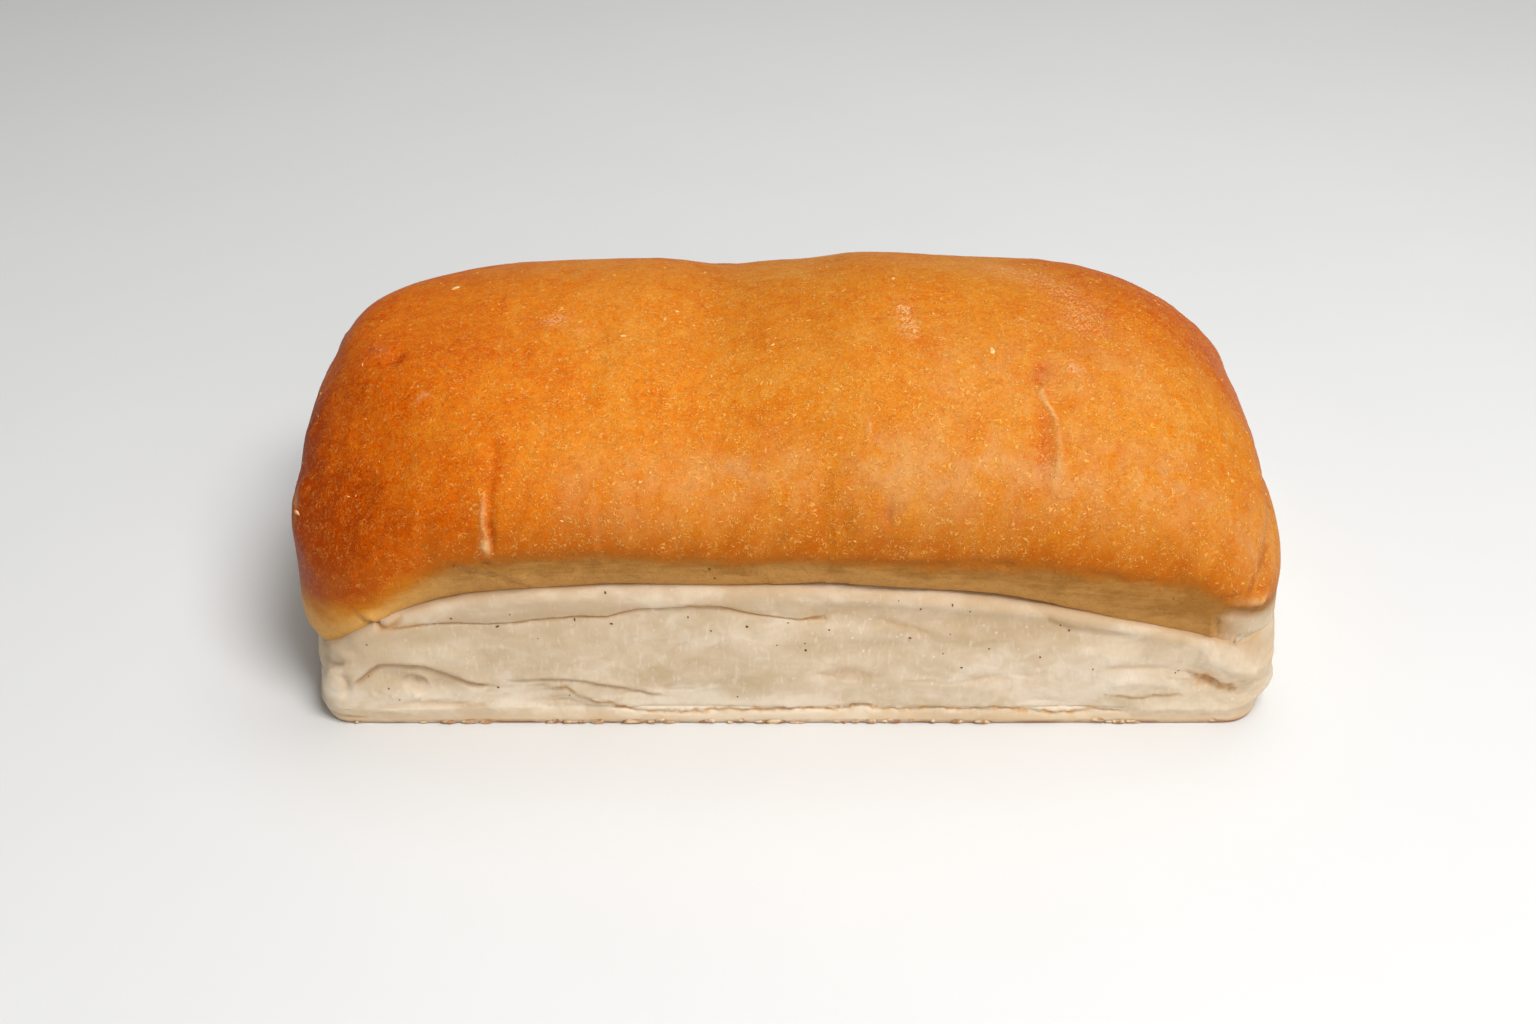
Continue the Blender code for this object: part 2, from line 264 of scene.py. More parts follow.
def side_points(u, v, row):
    """Points of the side: row counts rows up from the floor, and the last rows are the dome's rings."""
    to_crust = past(row, sum(ROWS[:5]), sum(ROWS[5:7]))
    at = Place(u, v, WALL_CORNER + (crust_corner(u) - WALL_CORNER) * to_crust)
    lines = side_lines(at)
    x, y, z = (np.zeros_like(u) for _ in range(3))
    start = 0
    fullness = np.where(row < sum(ROWS[:6]), 1, at.mix(UNDERSIDE_FULLNESS))
    for band, count in enumerate(ROWS[:-1]):
        share = np.clip((row - start) / count, 0, 1)
        inside = (row >= start) & (row <= start + count)
        (z_low, out_low), (z_high, out_high) = lines[band], lines[band + 1]
        turn = share * math.pi / 2
        if LEAVES_FOLD[band]:
            out = out_low + (out_high - out_low) * np.sin(turn) ** fullness
            height = z_low + (z_high - z_low) * (1 - np.cos(turn))
        else:
            out = out_high + (out_low - out_high) * np.cos(turn)
            height = z_low + (z_high - z_low) * np.sin(turn)
        x = np.where(inside, at.x + out * at.nx, x)
        y = np.where(inside, at.y + out * at.ny, y)
        z = np.where(inside, height, z)
        start += count
    inside = row >= start
    bulge_z, bulge_out = lines[-1]
    angle = np.clip((row - start) / ROWS[-1], 0, 1) * DOME_SPLIT
    middle, half_x, half_y, corner = dome_ring(angle, u)
    ring_x, ring_y, _, _ = rounded_rectangle(u, v, half_x, half_y, corner)
    bulge_share = np.cos(angle * (math.pi / 2 / DOME_SPLIT)) ** 2
    ring_x = ring_x + middle + bulge_out * at.nx * bulge_share
    ring_y = ring_y + bulge_out * at.ny * bulge_share
    base = DOME_BASE + (bulge_z - DOME_BASE) * bulge_share
    x = np.where(inside, ring_x, x)
    y = np.where(inside, ring_y, y)
    z = np.where(inside, dome_height(base, ring_x, angle), z)
    return x, y, z


def patch_points(u, v, edge):
    """Points in plan inside the square, blended from edge(u, v), its points on the square's four sides."""
    one = np.ones_like(u)
    s, t = (u + 1) / 2, (v + 1) / 2
    across = (1 - t) * edge(u, -one) + t * edge(u, one)
    along = (1 - s) * edge(-one, v) + s * edge(one, v)
    corners = (1 - s) * (1 - t) * edge(-one, -one) + s * (1 - t) * edge(one, -one)
    corners += (1 - s) * t * edge(-one, one) + s * t * edge(one, one)
    return across + along - corners


def dome_angle(x, y):
    """The angle of the dome's ring that passes through (x, y), found by halving."""
    low, high = np.zeros_like(x), np.full_like(x, math.pi / 2)
    for _ in range(30):
        angle = (low + high) / 2
        middle, half_x, half_y, corner = dome_ring(angle, x - dome_ring(angle, x)[0])
        past_x = np.abs(x - middle) - half_x + corner
        past_y = np.abs(y) - half_y + corner
        reach = np.hypot(np.maximum(past_x, 0), np.maximum(past_y, 0))
        outside = reach + np.minimum(np.maximum(past_x, past_y), 0) > corner
        high = np.where(outside, angle, high)
        low = np.where(outside, low, angle)
    return (low + high) / 2


def top_points(u, v):
    """Points of the dome above its last ring."""

    def last_ring(a, b):
        return np.stack(side_points(a, b, np.full_like(a, float(sum(ROWS))))[:2])

    x, y = patch_points(u, v, last_ring)
    return x, y, dome_height(DOME_BASE, x, dome_angle(x, y))


def swell(points):
    """The dough's unevenness at each point, outwards: a sum of waves that run every way."""
    rng = np.random.default_rng(SWELL_SEED)
    total = np.zeros(len(points))
    for _ in range(SWELL_WAVES):
        heading = rng.normal(size=3)
        heading /= np.linalg.norm(heading)
        length = rng.uniform(*SWELL_LENGTHS)
        turn = rng.uniform(0, 2 * math.pi)
        total += np.sin(points @ heading * (2 * math.pi / length) + turn)
    return total * SWELL_HEIGHT


# ---- The fine mesh: the part's grid, cut again wherever its edges are longer than the detail needs ----
FINE_COLUMNS = (92, 46)
FINE_ROWS = (2, 2, 8, 7, 3, 3, 8, 16)
ROUNDS = 4
# The wall lies below this height. The wall and the crust that show lie in front of these depths.
WALL_TOP = 46 * MM
WALL_SHOWN_TO = -48 * MM
CRUST_SHOWN_TO = 26 * MM
# How far apart points may lie, in mm. An edge is cut when it is longer than this many times that.
LONGEST = 1.35
SPACING_WALL_SHOWN = 0.62
SPACING_CRUST_SHOWN = 1.25
SPACING_HIDDEN_WALL = 1.7
SPACING_HIDDEN_CRUST = 2.6
SPACING_STROKE = 0.42
# Points lie finest near strokes, out to this many times a stroke's width, which counts as no wider than this,
# in mm. Strokes that are flatter or broader than these, or further back, have no finer points.
FINE_REACH = 2.2
WIDEST_FINE = 1.15
FLATTEST_FINE = 0.2
BROADEST_FINE = 5.0
FINE_TO = -5 * MM


def part_row(w):
    """The part's row at each height w, from -1 to 1, of the fine grid. Rows lie evenly along each arc."""
    fine = (w + 1) / 2 * sum(FINE_ROWS)
    row = np.zeros_like(fine)
    fine_start, start = 0, 0
    for band, (fine_count, count) in enumerate(zip(FINE_ROWS, ROWS)):
        share = np.clip((fine - fine_start) / fine_count, 0, 1)
        if band < len(LEAVES_FOLD):
            turned = np.arccos(1 - share) if LEAVES_FOLD[band] else np.arcsin(share)
            share = (share + turned * 2 / math.pi) / 2
        row += share * count
        fine_start += fine_count
        start += count
    return row


def loaf_points(grid):
    """Carries grid points, from -1 to 1 in each direction, onto the loaf."""
    u, v, w = grid.T
    row = part_row(w)
    on_side = np.maximum(np.abs(u), np.abs(v)) > 1 - TOLERANCE
    on_top = ~on_side & (w > 0)
    points = np.empty_like(grid)
    points[on_side] = np.stack(side_points(u[on_side], v[on_side], row[on_side]), 1)
    points[on_top] = np.stack(top_points(u[on_top], v[on_top]), 1)
    return points


def grid_box(cuts):
    """A unit box whose faces are cut into a grid, as a bmesh; its floor is left whole."""
    box = bmesh.new()
    bmesh.ops.create_cube(box, size=2)
    for axis, count in enumerate(cuts):
        along = [e for e in box.edges if abs(e.verts[0].co[axis] - e.verts[1].co[axis]) > TOLERANCE]
        bmesh.ops.subdivide_edges(box, edges=along, cuts=count - 1, use_grid_fill=True)
    floor = [f for f in box.faces if all(v.co.z < -1 + TOLERANCE for v in f.verts)]
    bmesh.ops.dissolve_faces(box, faces=floor, use_verts=False)
    return box


def coordinates(box):
    return np.array([v.co for v in box.verts])


def set_points(box, points):
    """Moves the mesh's points, and gives their new normals."""
    for vertex, point in zip(box.verts, points):
        vertex.co = point
    box.normal_update()
    return np.array([v.normal for v in box.verts])


def wanted_spacing(points):
    """How far apart points may lie, finest on the side shown."""
    _, y, z = points.T
    wall = z < WALL_TOP
    spacing = np.where(wall, SPACING_HIDDEN_WALL, SPACING_HIDDEN_CRUST)
    spacing = np.where(~wall & (y < CRUST_SHOWN_TO), SPACING_CRUST_SHOWN, spacing)
    return np.where(wall & (y < WALL_SHOWN_TO), SPACING_WALL_SHOWN, spacing) * MM


def cut_long_edges(box, spacing_at):
    """Cuts each edge that is longer than spacing_at says at its middle, in rounds."""
    for _ in range(ROUNDS):
        box.verts.index_update()
        points = loaf_points(coordinates(box))
        ends = np.array([(e.verts[0].index, e.verts[1].index) for e in box.edges])
        a, b = points[ends[:, 0]], points[ends[:, 1]]
        length = np.linalg.norm(a - b, axis=1)
        spacing = spacing_at((a + b) / 2)
        on_floor = (a[:, 2] < TOLERANCE) & (b[:, 2] < TOLERANCE)
        too_long = (length > LONGEST * spacing) & ~on_floor
        box.edges.ensure_lookup_table()
        edges = [box.edges[i] for i in np.flatnonzero(too_long)]
        if not edges:
            break
        bmesh.ops.subdivide_edges(box, edges=edges, cuts=1, use_grid_fill=True)


# ---- Strokes: creases, laps, ridges and dents drawn as paths on the loaf ----
# Each path is in mm as seen in one view, and is lifted onto the surface. The near side of a path is its left,
# walking from its first point. Width and height are in mm, and reach is the tint's width as a share of width.
Stroke = namedtuple("Stroke", "view path shape width height tint amount reach", defaults=("", 0, 1))

# For each view, the axes that run across and up it, and the way that the surface there faces.
VIEWS = {
    "front": (0, 2, (0, -1, 0)),
    "back": (0, 2, (0, 1, 0)),
    "left": (1, 2, (-1, 0, 0)),
    "right": (1, 2, (1, 0, 0)),
    "top": (0, 1, (0, 0, 1)),
}
SAMPLE_STEP = 0.5 * MM
# A path is lifted onto this many of the nearest points that face its view by at least this much. The nearer a
# point, the more it counts, but none counts as nearer than this gap.
NEIGHBOURS = 4
LEAST_FACING = 0.12
NEAREST_GAP = 0.05 * MM
# How noise changes from each octave to the next.
OCTAVE_FALL = 0.9
OCTAVE_STEP = 2.1


def drawn(view, shape, rows):
    """Strokes of one shape in one view. Each row is a path and the values that follow its shape."""
    return tuple(Stroke(view, path, shape, *values) for path, *values in rows)


# The wall, below the fold.
# Laps on the wall: the brown tint under each lip is partly painted shade.
WALL_LAPS = drawn("front", "lap", (
    (LIP_PATH, 0.6, 0.35, "line", 1, 0.8),
    (((20, 29.4), (27, 27.5), (34, 25)), 1.8, 0.4, "torn", 0.35, 0.7),
    (((57, 31), (61, 28.5), (67, 27), (77, 26)), 1.8, 0.5, "line", 0.35, 0.7),
    (((-97, 11), (-94, 14), (-90, 17), (-84, 17), (-79, 16), (-71, 12),
     (-66, 11)), 1, 1.4, "line", 0.35, 0.9),
    (((-86, 12.4), (-83.6, 13.6), (-80.6, 12.6), (-79.4, 10.8)), 0.8, 1, "line", 0.5, 0.9),
    (((-106, 4.6), (-103, 3.2), (-99, 2.6), (-93, 2.4)), 0.7, 0.8, "torn", 0.5, 0.8),
    (((-61, 12), (-50, 13), (-42, 12), (-34, 10), (-27, 8)), 0.7, 0.8, "line", 0.4, 0.8),
    (((-54, 9.5), (-49, 10.5), (-46, 8), (-39, 6), (-33, 4.4), (-24, 3.6), (-14, 4.2), (-7, 4.4),
     (3, 5)), 0.8, 0.9, "torn", 0.9, 0.8),
    (((-1, 5), (8, 4.6), (14, 4.2), (17, 5.2), (25, 4.2), (33, 4.8), (41, 4.4), (48, 4.8), (56, 4.2),
     (63, 3.6), (70, 4.2), (77, 4.2)), 0.7, 0.8, "torn", 1, 0.8),
    (((73, 9), (82, 8.2), (90, 9)), 0.8, 0.7, "torn", 0.8, 0.8),
    (((90, 15.6), (95.4, 13.6), (99, 11.6), (103, 9.8)), 1.5, 1.7, "torn", 0.9),
))
WALL_GROOVES = drawn("front", "groove", (
    (((4, 31), (22, 30.2), (38, 28.6), (54, 26.6), (68, 24), (82, 21.4)), 3, 0.55, "line", 0.1),
    (((-92, 13), (-86, 14), (-79, 12.5), (-73, 9.5)), 3, 0.9),
    (((-85.4, 10.8), (-82.6, 11.6), (-80.6, 10)), 1.5, 1.8, "line", 0.2, 0.8),
    (((-58, 8.5), (-52, 11)), 1, 0.5),
    (((71, 16), (78, 16.6), (86, 16)), 0.9, 0.5, "line", 0.25),
    (((91.6, 11.4), (95.2, 12.3), (98.6, 11.4)), 0.9, 1, "torn", 0.8),
    (((98, 22.6), (100, 21.6), (102.4, 20.4), (106, 18.4)), 1.5, 1, "line", 0.2),
    (((95, 31), (95.4, 27), (96.2, 23)), 0.9, 0.8, "torn", 0.5, 0.9),
    (((97, 31), (100, 30.2), (103, 29.4), (106, 29)), 0.9, 0.7, "line", 0.4, 0.9),
    (((-98.5, 15), (-98, 11), (-98.5, 7)), 1, 0.8, "line", 0.2),
    (((-104.4, 15.4), (-101, 15.8), (-97.6, 16.8)), 1, 0.9, "line", 0.25),
    (((-45, 22), (-30, 22.6), (-12, 21)), 2.4, 0.3),
    (((12, 20), (24, 22), (40, 21), (52, 22)), 2.2, 0.4),
    (((6, 13), (14, 14.4), (20, 12.6)), 1.4, 0.5, "line", 0.2, 1.4),
    (((40, 12.4), (46, 13.2), (52, 12.2)), 1.3, 0.5, "line", 0.25, 1.4),
    (((-92, 5.5), (-80, 6.2), (-66, 5.2)), 0.9, 0.5, "line", 0.3, 0.8),
    (((-60, 5.4), (-50, 6.4), (-44, 5)), 0.8, 0.4, "torn", 0.4, 0.8),
))
# Ridges on the wall, most with a painted highlight along them.
WALL_RIDGES = drawn("front", "ridge", (
    (((-4, 34.6), (20, 34), (40, 32.4), (60, 29.6), (78, 26), (90, 22.6)), 2.4, 0.35),
    (((-93, 8.6), (-91.4, 9.4)), 1.1, 1, "glow", 0.5, 0.9),
    (((-90.6, 10.4), (-89.2, 9.6)), 0.9, 0.8, "glow", 0.5, 0.9),
    (((-88.4, 8.6), (-86.6, 8.2)), 0.9, 0.8, "glow", 0.4, 0.9),
    (((-84, 8), (-81.6, 8.6)), 1, 0.6),
    (((92, 20.4), (97, 18.6), (102, 16.2), (107, 12.6)), 2.6, 1.7, "glow", 0.6),
    (((70, 19.6), (80, 20.6), (88, 19)), 2.4, 0.5, "glow", 0.3, 1.2),
    (((72, 12), (82, 12.6), (89, 11.4)), 1.6, 0.5, "glow", 0.3, 1.2),
    (((93.8, 31), (94.2, 27), (95, 23.4)), 0.9, 0.5, "glow", 0.7, 0.9),
    (((96.5, 34), (99, 33.6), (102, 32.6), (105, 31.8), (107.4, 32.4)), 1.1, 1.2, "glow", 0.9, 0.9),
    (((-103, 18), (-101, 14), (-102.5, 9), (-100, 5.5)), 2.2, 0.8, "glow", 0.3),
    (((-104, 18), (-100, 18.8), (-95, 20)), 1.6, 0.9, "glow", 0.3),
    (((-95, 20.4), (-86, 21), (-77, 19.4), (-68, 16.6)), 2.2, 0.45, "glow", 0.35, 1.1),
))
# The crust, seen from the front, from above and from the ends.
CRUST_LAPS = drawn("front", "lap", (
    (((-94, 31), (-91, 28), (-87, 27.6), (-84, 30)), 1.1, 1, "line", 0.8, 0.9),
    (((-71, 44), (-63, 42), (-59, 40), (-55, 37.4)), 1, 0.8, "line", 0.8, 0.9),
    (((-65.4, 46.8), (-64.2, 45.6), (-61.6, 45.2)), 0.8, 0.8, "glow", 0.5, 0.8),
    (((-39, 44), (-40, 51), (-40.6, 58)), 0.8, 0.45, "line", 0.25, 0.7),
    (((-23, 48), (-23.4, 56)), 0.7, 0.3, "line", 0.15, 0.7),
    (((78, 40.6), (81, 41.2)), 0.8, 0.5, "blush", 0.9),
))
# Grooves in the crust, most tinted with painted shade.
CRUST_GROOVES = drawn("front", "groove", (
    (((-61.8, 50), (-62.9, 55), (-62.6, 61), (-62, 65), (-62.6, 69)), 1, 0.32, "deep", 0.3),
    (((-62.2, 47), (-62.8, 51), (-62.8, 56)), 0.6, 0.9, "deep", 1, 1.1),
    (((8, 47), (8.6, 58), (7.6, 69)), 6, 0.8),
    (((13, 50), (13, 57)), 2, 0.35),
    (((-1, 48), (-1.6, 58)), 2.6, 0.35),
    (((22.2, 53), (22.4, 60)), 0.8, 0.7, "deep", 0.5, 1.1),
    (((56.8, 71.6), (56.4, 68), (55.8, 64.6), (55.4, 61)), 2.4, 0.7, "deep", 0.75, 1.1),
    (((57, 53.6), (57.6, 54.6)), 0.9, 0.9, "deep", 0.7, 1.2),
    (((-109, 51), (-108.6, 46)), 1, 0.5, "glow", 0.6),
    (((15, 44.6), (27, 43.6), (37, 43.4)), 1.3, 0.4, "deep", 0.8),
    (((45, 44), (51, 43.6)), 1.2, 0.4, "deep", 0.7, 1.1),
    (((51.6, 44), (53.6, 49)), 1.1, 0.4, "deep", 0.9, 1.1),
    (((38, 44.6), (44, 44), (50, 44.6)), 1.5, 0.4, "blush", 1, 1.1),
    (((64, 42.6), (69, 41.8), (75, 41)), 1.1, 0.4, "blush", 1),
))
# Ridges of the crust: narrow ones with painted highlights, and flat bands of painted sheen and of painted
# shade.
CRUST_RIDGES = drawn("front", "ridge", (
    (((-50, 58), (-20, 61), (10, 62)), 9, 0, "sheen", 0.8),
    (((10, 63), (45, 63), (80, 59), (96, 52.5)), 10.5, 0, "sheen", 1),
    (((96, 54), (101, 47), (104, 41), (105, 35)), 9, 0, "sheen", 1),
    (((-15, 49), (10, 48), (45, 47), (70, 45), (92, 43)), 2.4, 0, "blush", 0.8),
    (((-104, 32), (-92, 40), (-75, 48), (-50, 51)), 3.5, 0, "blush", 0.6),
    (((-63.4, 50), (-64.1, 53), (-64.2, 57), (-63.8, 60)), 0.6, 0.4, "glow", 0.5, 0.8),
    (((-63.3, 46.8), (-63.8, 49), (-64.1, 52)), 0.9, 0.7, "glow", 1, 0.9),
    (((59.4, 69.6), (59.4, 66), (58.6, 62.9), (58, 59.6)), 0.7, 0.4, "glow", 0.25, 0.9),
))
# Dents on top, most tinted with painted shade.
TOP_GROOVES = drawn("top", "groove", (
    (((19.4, -48), (19.6, -44)), 0.7, 0.35, "deep", 0.4),
    (((55.6, -21), (56.4, -24)), 1.3, 0.6, "deep", 0.45),
    (((56.8, -24), (56.6, -29), (56.8, -33.6)), 1.9, 0.6, "deep", 0.9, 1.1),
    (((-41, -10), (-41, -25), (-43, -32), (-45, -38)), 2.4, 0.45),
    (((-88, -23), (-84.6, -17)), 1.7, 0.8, "deep", 0.6, 1.1),
    (((-52, -24), (-49, -24)), 2.2, 0.5, "deep", 0.5, 1.3),
    (((-51, 16), (-50, 18)), 1.6, 0.7, "deep", 0.5, 1.2),
    (((-28, 6), (-26.4, 8)), 1.6, 0.6, "deep", 0.5, 1.2),
    (((-23.6, -9), (-22.4, -7.4)), 1.5, 0.6, "deep", 0.5, 1.2),
    (((-27.4, -35), (-26.6, -32.4)), 1.4, 0.5, "deep", 0.5, 1.2),
))
# Ridges on top: some with painted highlights, one flat band of painted sheen, and one dusty patch.
TOP_RIDGES = drawn("top", "ridge", (
    (((-98, 4), (-103, -8), (-106, -20), (-107, -30), (-106, -42)), 10, 0.3),
    (((26, -32), (56, -30), (90, -20)), 13, 0, "sheen", 0.5),
    (((18, -47), (18.4, -43)), 0.9, 0.6, "glow", 0.3),
    (((57.6, -31.6), (56.4, -35), (58.4, -38.4), (59.6, -41.6)), 0.7, 0.6, "glow", 0.5, 0.8),
    (((-93, -17), (-90, -15)), 3, 0.5, "dust", 0.5),
    (((-80.4, -34.8), (-79.8, -33.3), (-78.2, -32.8), (-77, -33.8)), 0.45, 0.25, "glow", 0.45),
))
TOP_DUST = drawn("top", "dust", (
    (((-55, -9), (-48, -9)), 1.7, 0.12, "dust", 0.8, 1.4),
    (((-47, -14), (-44, -13.6)), 1.3, 0.12, "dust", 0.8, 1.3),
    (((53, -10), (55, -12)), 1.4, 0.12, "dust", 0.7, 1.3),
    (((62, -24), (66, -28)), 1.6, 0.12, "dust", 0.8, 1.3),
    (((27, -8), (28, -16), (29, -22)), 1.4, 0.1, "dust", 0.9, 1.2),
    (((46, 20), (58, 14), (68, 0), (66, -14)), 4, 0.12, "dust", 0.45, 1.4),
))
LEFT_GROOVES = drawn("left", "groove", (
    (((-46, 54), (-36, 54), (-22, 54)), 8, 1),
))
# A lap at the right end, with painted shade under it.
RIGHT_LAPS = drawn("right", "lap", (
    (((-58, 35), (-56, 37), (-54, 38.4), (-51, 40.4), (-45, 44), (-38, 46.6), (-28, 50),
     (-18, 53)), 3.4, 0.8, "blush", 0.9, 0.7),
))
SHOWN_STROKES = (WALL_LAPS + WALL_GROOVES + WALL_RIDGES + CRUST_LAPS + CRUST_GROOVES + CRUST_RIDGES
                 + TOP_GROOVES + TOP_RIDGES + TOP_DUST + LEFT_GROOVES + RIGHT_LAPS)


def smooth_path(path):
    """Points at an even step along a smooth curve through a path's points, in metres."""
    given = np.array(path, float) * MM
    before = given[0] * 2 - given[1]
    after = given[-1] * 2 - given[-2]
    knots = np.vstack([before, given, after])
    pieces = []
    for i in range(1, len(knots) - 2):
        p0, p1, p2, p3 = knots[i - 1: i + 3]
        count = max(2, int(np.linalg.norm(p2 - p1) / SAMPLE_STEP))
        t = np.arange(count)[:, None] / count
        curve = 2 * p1 + (p2 - p0) * t + (2 * p0 - 5 * p1 + 4 * p2 - p3) * t**2
        curve += (3 * p1 - p0 - 3 * p2 + p3) * t**3
        pieces.append(curve / 2)
    pieces.append(given[-1:])
    return np.vstack(pieces)


class Surface:
    """The loaf's points and normals, and a way to lift paths onto them."""

    def __init__(self, points, normals):
        self.points, self.normals = points, normals
        self.trees = {}

    def tree(self, view):
        if view not in self.trees:
            across, up, facing = VIEWS[view]
            chosen = np.flatnonzero(self.normals @ np.array(facing) > LEAST_FACING)
            tree = kdtree.KDTree(len(chosen))
            for i in chosen:
                tree.insert((self.points[i, across], self.points[i, up], 0), int(i))
            tree.balance()
            self.trees[view] = tree
        return self.trees[view]

    def lift(self, view, path):
        """Points of the surface, and its normals there, under a path drawn in this view."""
        tree = self.tree(view)
        places, normals = [], []
        start = PATHS_FROM_X if VIEWS[view][0] == 0 else 0
        for a, b in smooth_path(path) + (start, 0):
            found = tree.find_n((a, b, 0), NEIGHBOURS)
            chosen = [index for _, index, _ in found]
            weight = np.array([1 / (gap + NEAREST_GAP) for _, _, gap in found])
            weight /= weight.sum()
            places.append(weight @ self.points[chosen])
            normals.append(weight @ self.normals[chosen])
        normals = np.array(normals)
        return np.array(places), normals / np.linalg.norm(normals, axis=1)[:, None]


def spacing_near(surface, strokes):
    """A function for how far apart points may lie: finest near these strokes, but for flat and broad ones."""
    strokes = [s for s in strokes if s.height >= FLATTEST_FINE and s.width <= BROADEST_FINE]
    tree = kdtree.KDTree(sum(len(smooth_path(s.path)) for s in strokes))
    reach = []
    for stroke in strokes:
        for place in surface.lift(stroke.view, stroke.path)[0]:
            tree.insert(place, len(reach))
            reach.append(min(stroke.width, WIDEST_FINE) * FINE_REACH * MM)
    tree.balance()

    def spacing_at(points):
        spacing = wanted_spacing(points)
        for i in np.flatnonzero(points[:, 1] < FINE_TO):
            _, nearest, gap = tree.find(points[i])
            if gap < reach[nearest]:
                spacing[i] = min(spacing[i], SPACING_STROKE * MM)
        return spacing

    return spacing_at


def near_stroke(surface, stroke):
    """The points near a stroke: their indices, signed distances from it, and shares of the way along it."""
    places, normals = surface.lift(stroke.view, stroke.path)
    reach = stroke.width * MM * 5 + 2 * MM
    low, high = places.min(0) - reach, places.max(0) + reach
    chosen = np.flatnonzero(((surface.points > low) & (surface.points < high)).all(1))
    offset = surface.points[chosen][:, None, :] - places[None]
    nearest = np.argmin((offset**2).sum(2), axis=1)
    offset = offset[np.arange(len(chosen)), nearest]
    normal = surface.normals[chosen]
    same_side = (normal * normals[nearest]).sum(1) > 0.1
    chosen, nearest, offset, normal = (a[same_side] for a in (chosen, nearest, offset, normal))
    tangents = np.gradient(places, axis=0)
    tangents /= np.linalg.norm(tangents, axis=1)[:, None] + 1e-12
    offset -= normal * (offset * normal).sum(1)[:, None]
    near_side = np.cross(normal, tangents[nearest])
    gap = np.linalg.norm(offset, axis=1) / MM
    sign = np.sign((offset * near_side).sum(1))
    return chosen, gap * sign, nearest / max(1, len(places) - 1)


def stroke_height(stroke, d):
    """How far a stroke lifts the surface at signed distances d from it, for a height of 1."""
    s = d / stroke.width
    if stroke.shape == "groove":
        return -bell(s)
    if stroke.shape == "lap":
        lip = bell(np.maximum(s, 0), 2.6) * (0.5 + 0.5 * np.tanh(s * 3 + 0.6))
        return lip * 0.55 - bell(s + 0.45, 0.75) * 0.75
    return bell(s)


def tapered(share, length, width):
    """Falls to nothing over the last part of a stroke at either end."""
    end = np.minimum(share, 1 - share) * length / max(3 * MM, width)
    return np.clip(end + 0.15, 0, 1)


def rough(points, size, octaves=3, stretch=(1, 1, 1), shift=0.0):
    """Fractal noise, about -1 to 1, with features this size in mm, longer along each axis by stretch."""
    scaled = points / (np.array(stretch) * size * MM) + shift
    basis = dict(noise_basis="PERLIN_ORIGINAL")
    return np.array([noise.fractal(Vector(p), OCTAVE_FALL, OCTAVE_STEP, octaves, **basis) for p in scaled])


def fine_box():
    """The box that becomes the loaf, cut finer where the loaf shows and finest near the strokes there."""
    box = grid_box(FINE_COLUMNS + (sum(FINE_ROWS),))
    bmesh.ops.recalc_face_normals(box, faces=box.faces)
    cut_long_edges(box, wanted_spacing)
    grid = coordinates(box)
    points = loaf_points(grid)
    smooth = Surface(points, set_points(box, points))
    set_points(box, grid)
    cut_long_edges(box, spacing_near(smooth, SHOWN_STROKES))
    return box


# ---- The sides that don't show: their creases are drawn at random, like those of the side that does ----
HIDDEN_SEED = 23
# (view, half width, top, count) of each wall and (view, half width, low, high, count) of each crust, in mm.
HIDDEN_WALLS = (("back", 96, 28, 15), ("left", 44, 17, 7), ("right", 44, 21, 7))
HIDDEN_CRUSTS = (("back", 90, 46, 64, 6), ("left", 34, 36, 58, 3), ("right", 34, 40, 56, 4))
HIDDEN_DENTS = 9


def hidden_strokes():
    rng = np.random.default_rng(HIDDEN_SEED)
    strokes = []
    for view, half, top, count in HIDDEN_WALLS:
        for _ in range(count):
            corners = rng.integers(3, 6)
            along = rng.uniform(-half, half * 0.5) + np.cumsum(rng.uniform(5, 14, corners))
            along = np.minimum(along, half)
            height = np.clip(rng.uniform(6, top) + np.cumsum(rng.normal(0, 1.3, corners)), 4, top)
            shape = ("lap", "lap", "groove")[rng.integers(3)]
            width, deep, tint = rng.uniform(0.9, 1.6), rng.uniform(0.5, 1.2), rng.uniform(0.2, 0.7)
            path = tuple(zip(along, height))
            strokes.append(Stroke(view, path, shape, width, deep, "line", tint))
        seam = np.arange(-half, half, 7.0)
        heights = (5.0 if view == "back" else 7.5) + rng.normal(0, 0.5, len(seam))
        strokes.append(Stroke(view, tuple(zip(seam, heights)), "lap", 0.9, 0.8, "torn", 0.8, 0.9))
    for view, half, low, high, count in HIDDEN_CRUSTS:
        for _ in range(count):
            along, bottom = rng.uniform(-half, half), low + rng.uniform(0, 4)
            top = rng.uniform(bottom + 6, high)
            path = tuple(zip(along + rng.normal(0, 1.2, 3), (bottom, (bottom + top) / 2, top)))
            shape = ("lap", "groove")[rng.integers(2)]
            size = rng.uniform((1, 0.4), (3, 1))
            # The tint in these creases is painted shade.
            strokes.append(Stroke(view, path, shape, *size, "deep", 0.3, 0.8))
    for _ in range(HIDDEN_DENTS):
        x, y, turn = rng.uniform(-85, 85), rng.uniform(20, 48), rng.uniform(0, math.pi)
        run = rng.uniform(1, 4)
        path = ((x, y), (x + run * math.cos(turn), y + run * math.sin(turn)))
        size = rng.uniform((1.2, 0.4), (2.4, 0.8))
        # The tint in these dents is painted shade.
        strokes.append(Stroke("top", path, "groove", *size, "deep", 0.5, 1.2))
    return tuple(strokes)


# ---- Masks and relief ----
# How far a stroke strays from its path, in mm, where the dough is whole and where it is torn.
RAGGED = 0.3
RAGGED_TEAR = 0.75
# How far below a lap's lip its tint lies, as a share of its width: where the lap's shade falls, so the tint
# is partly painted shade.
LAP_TINT_BELOW = 0.4
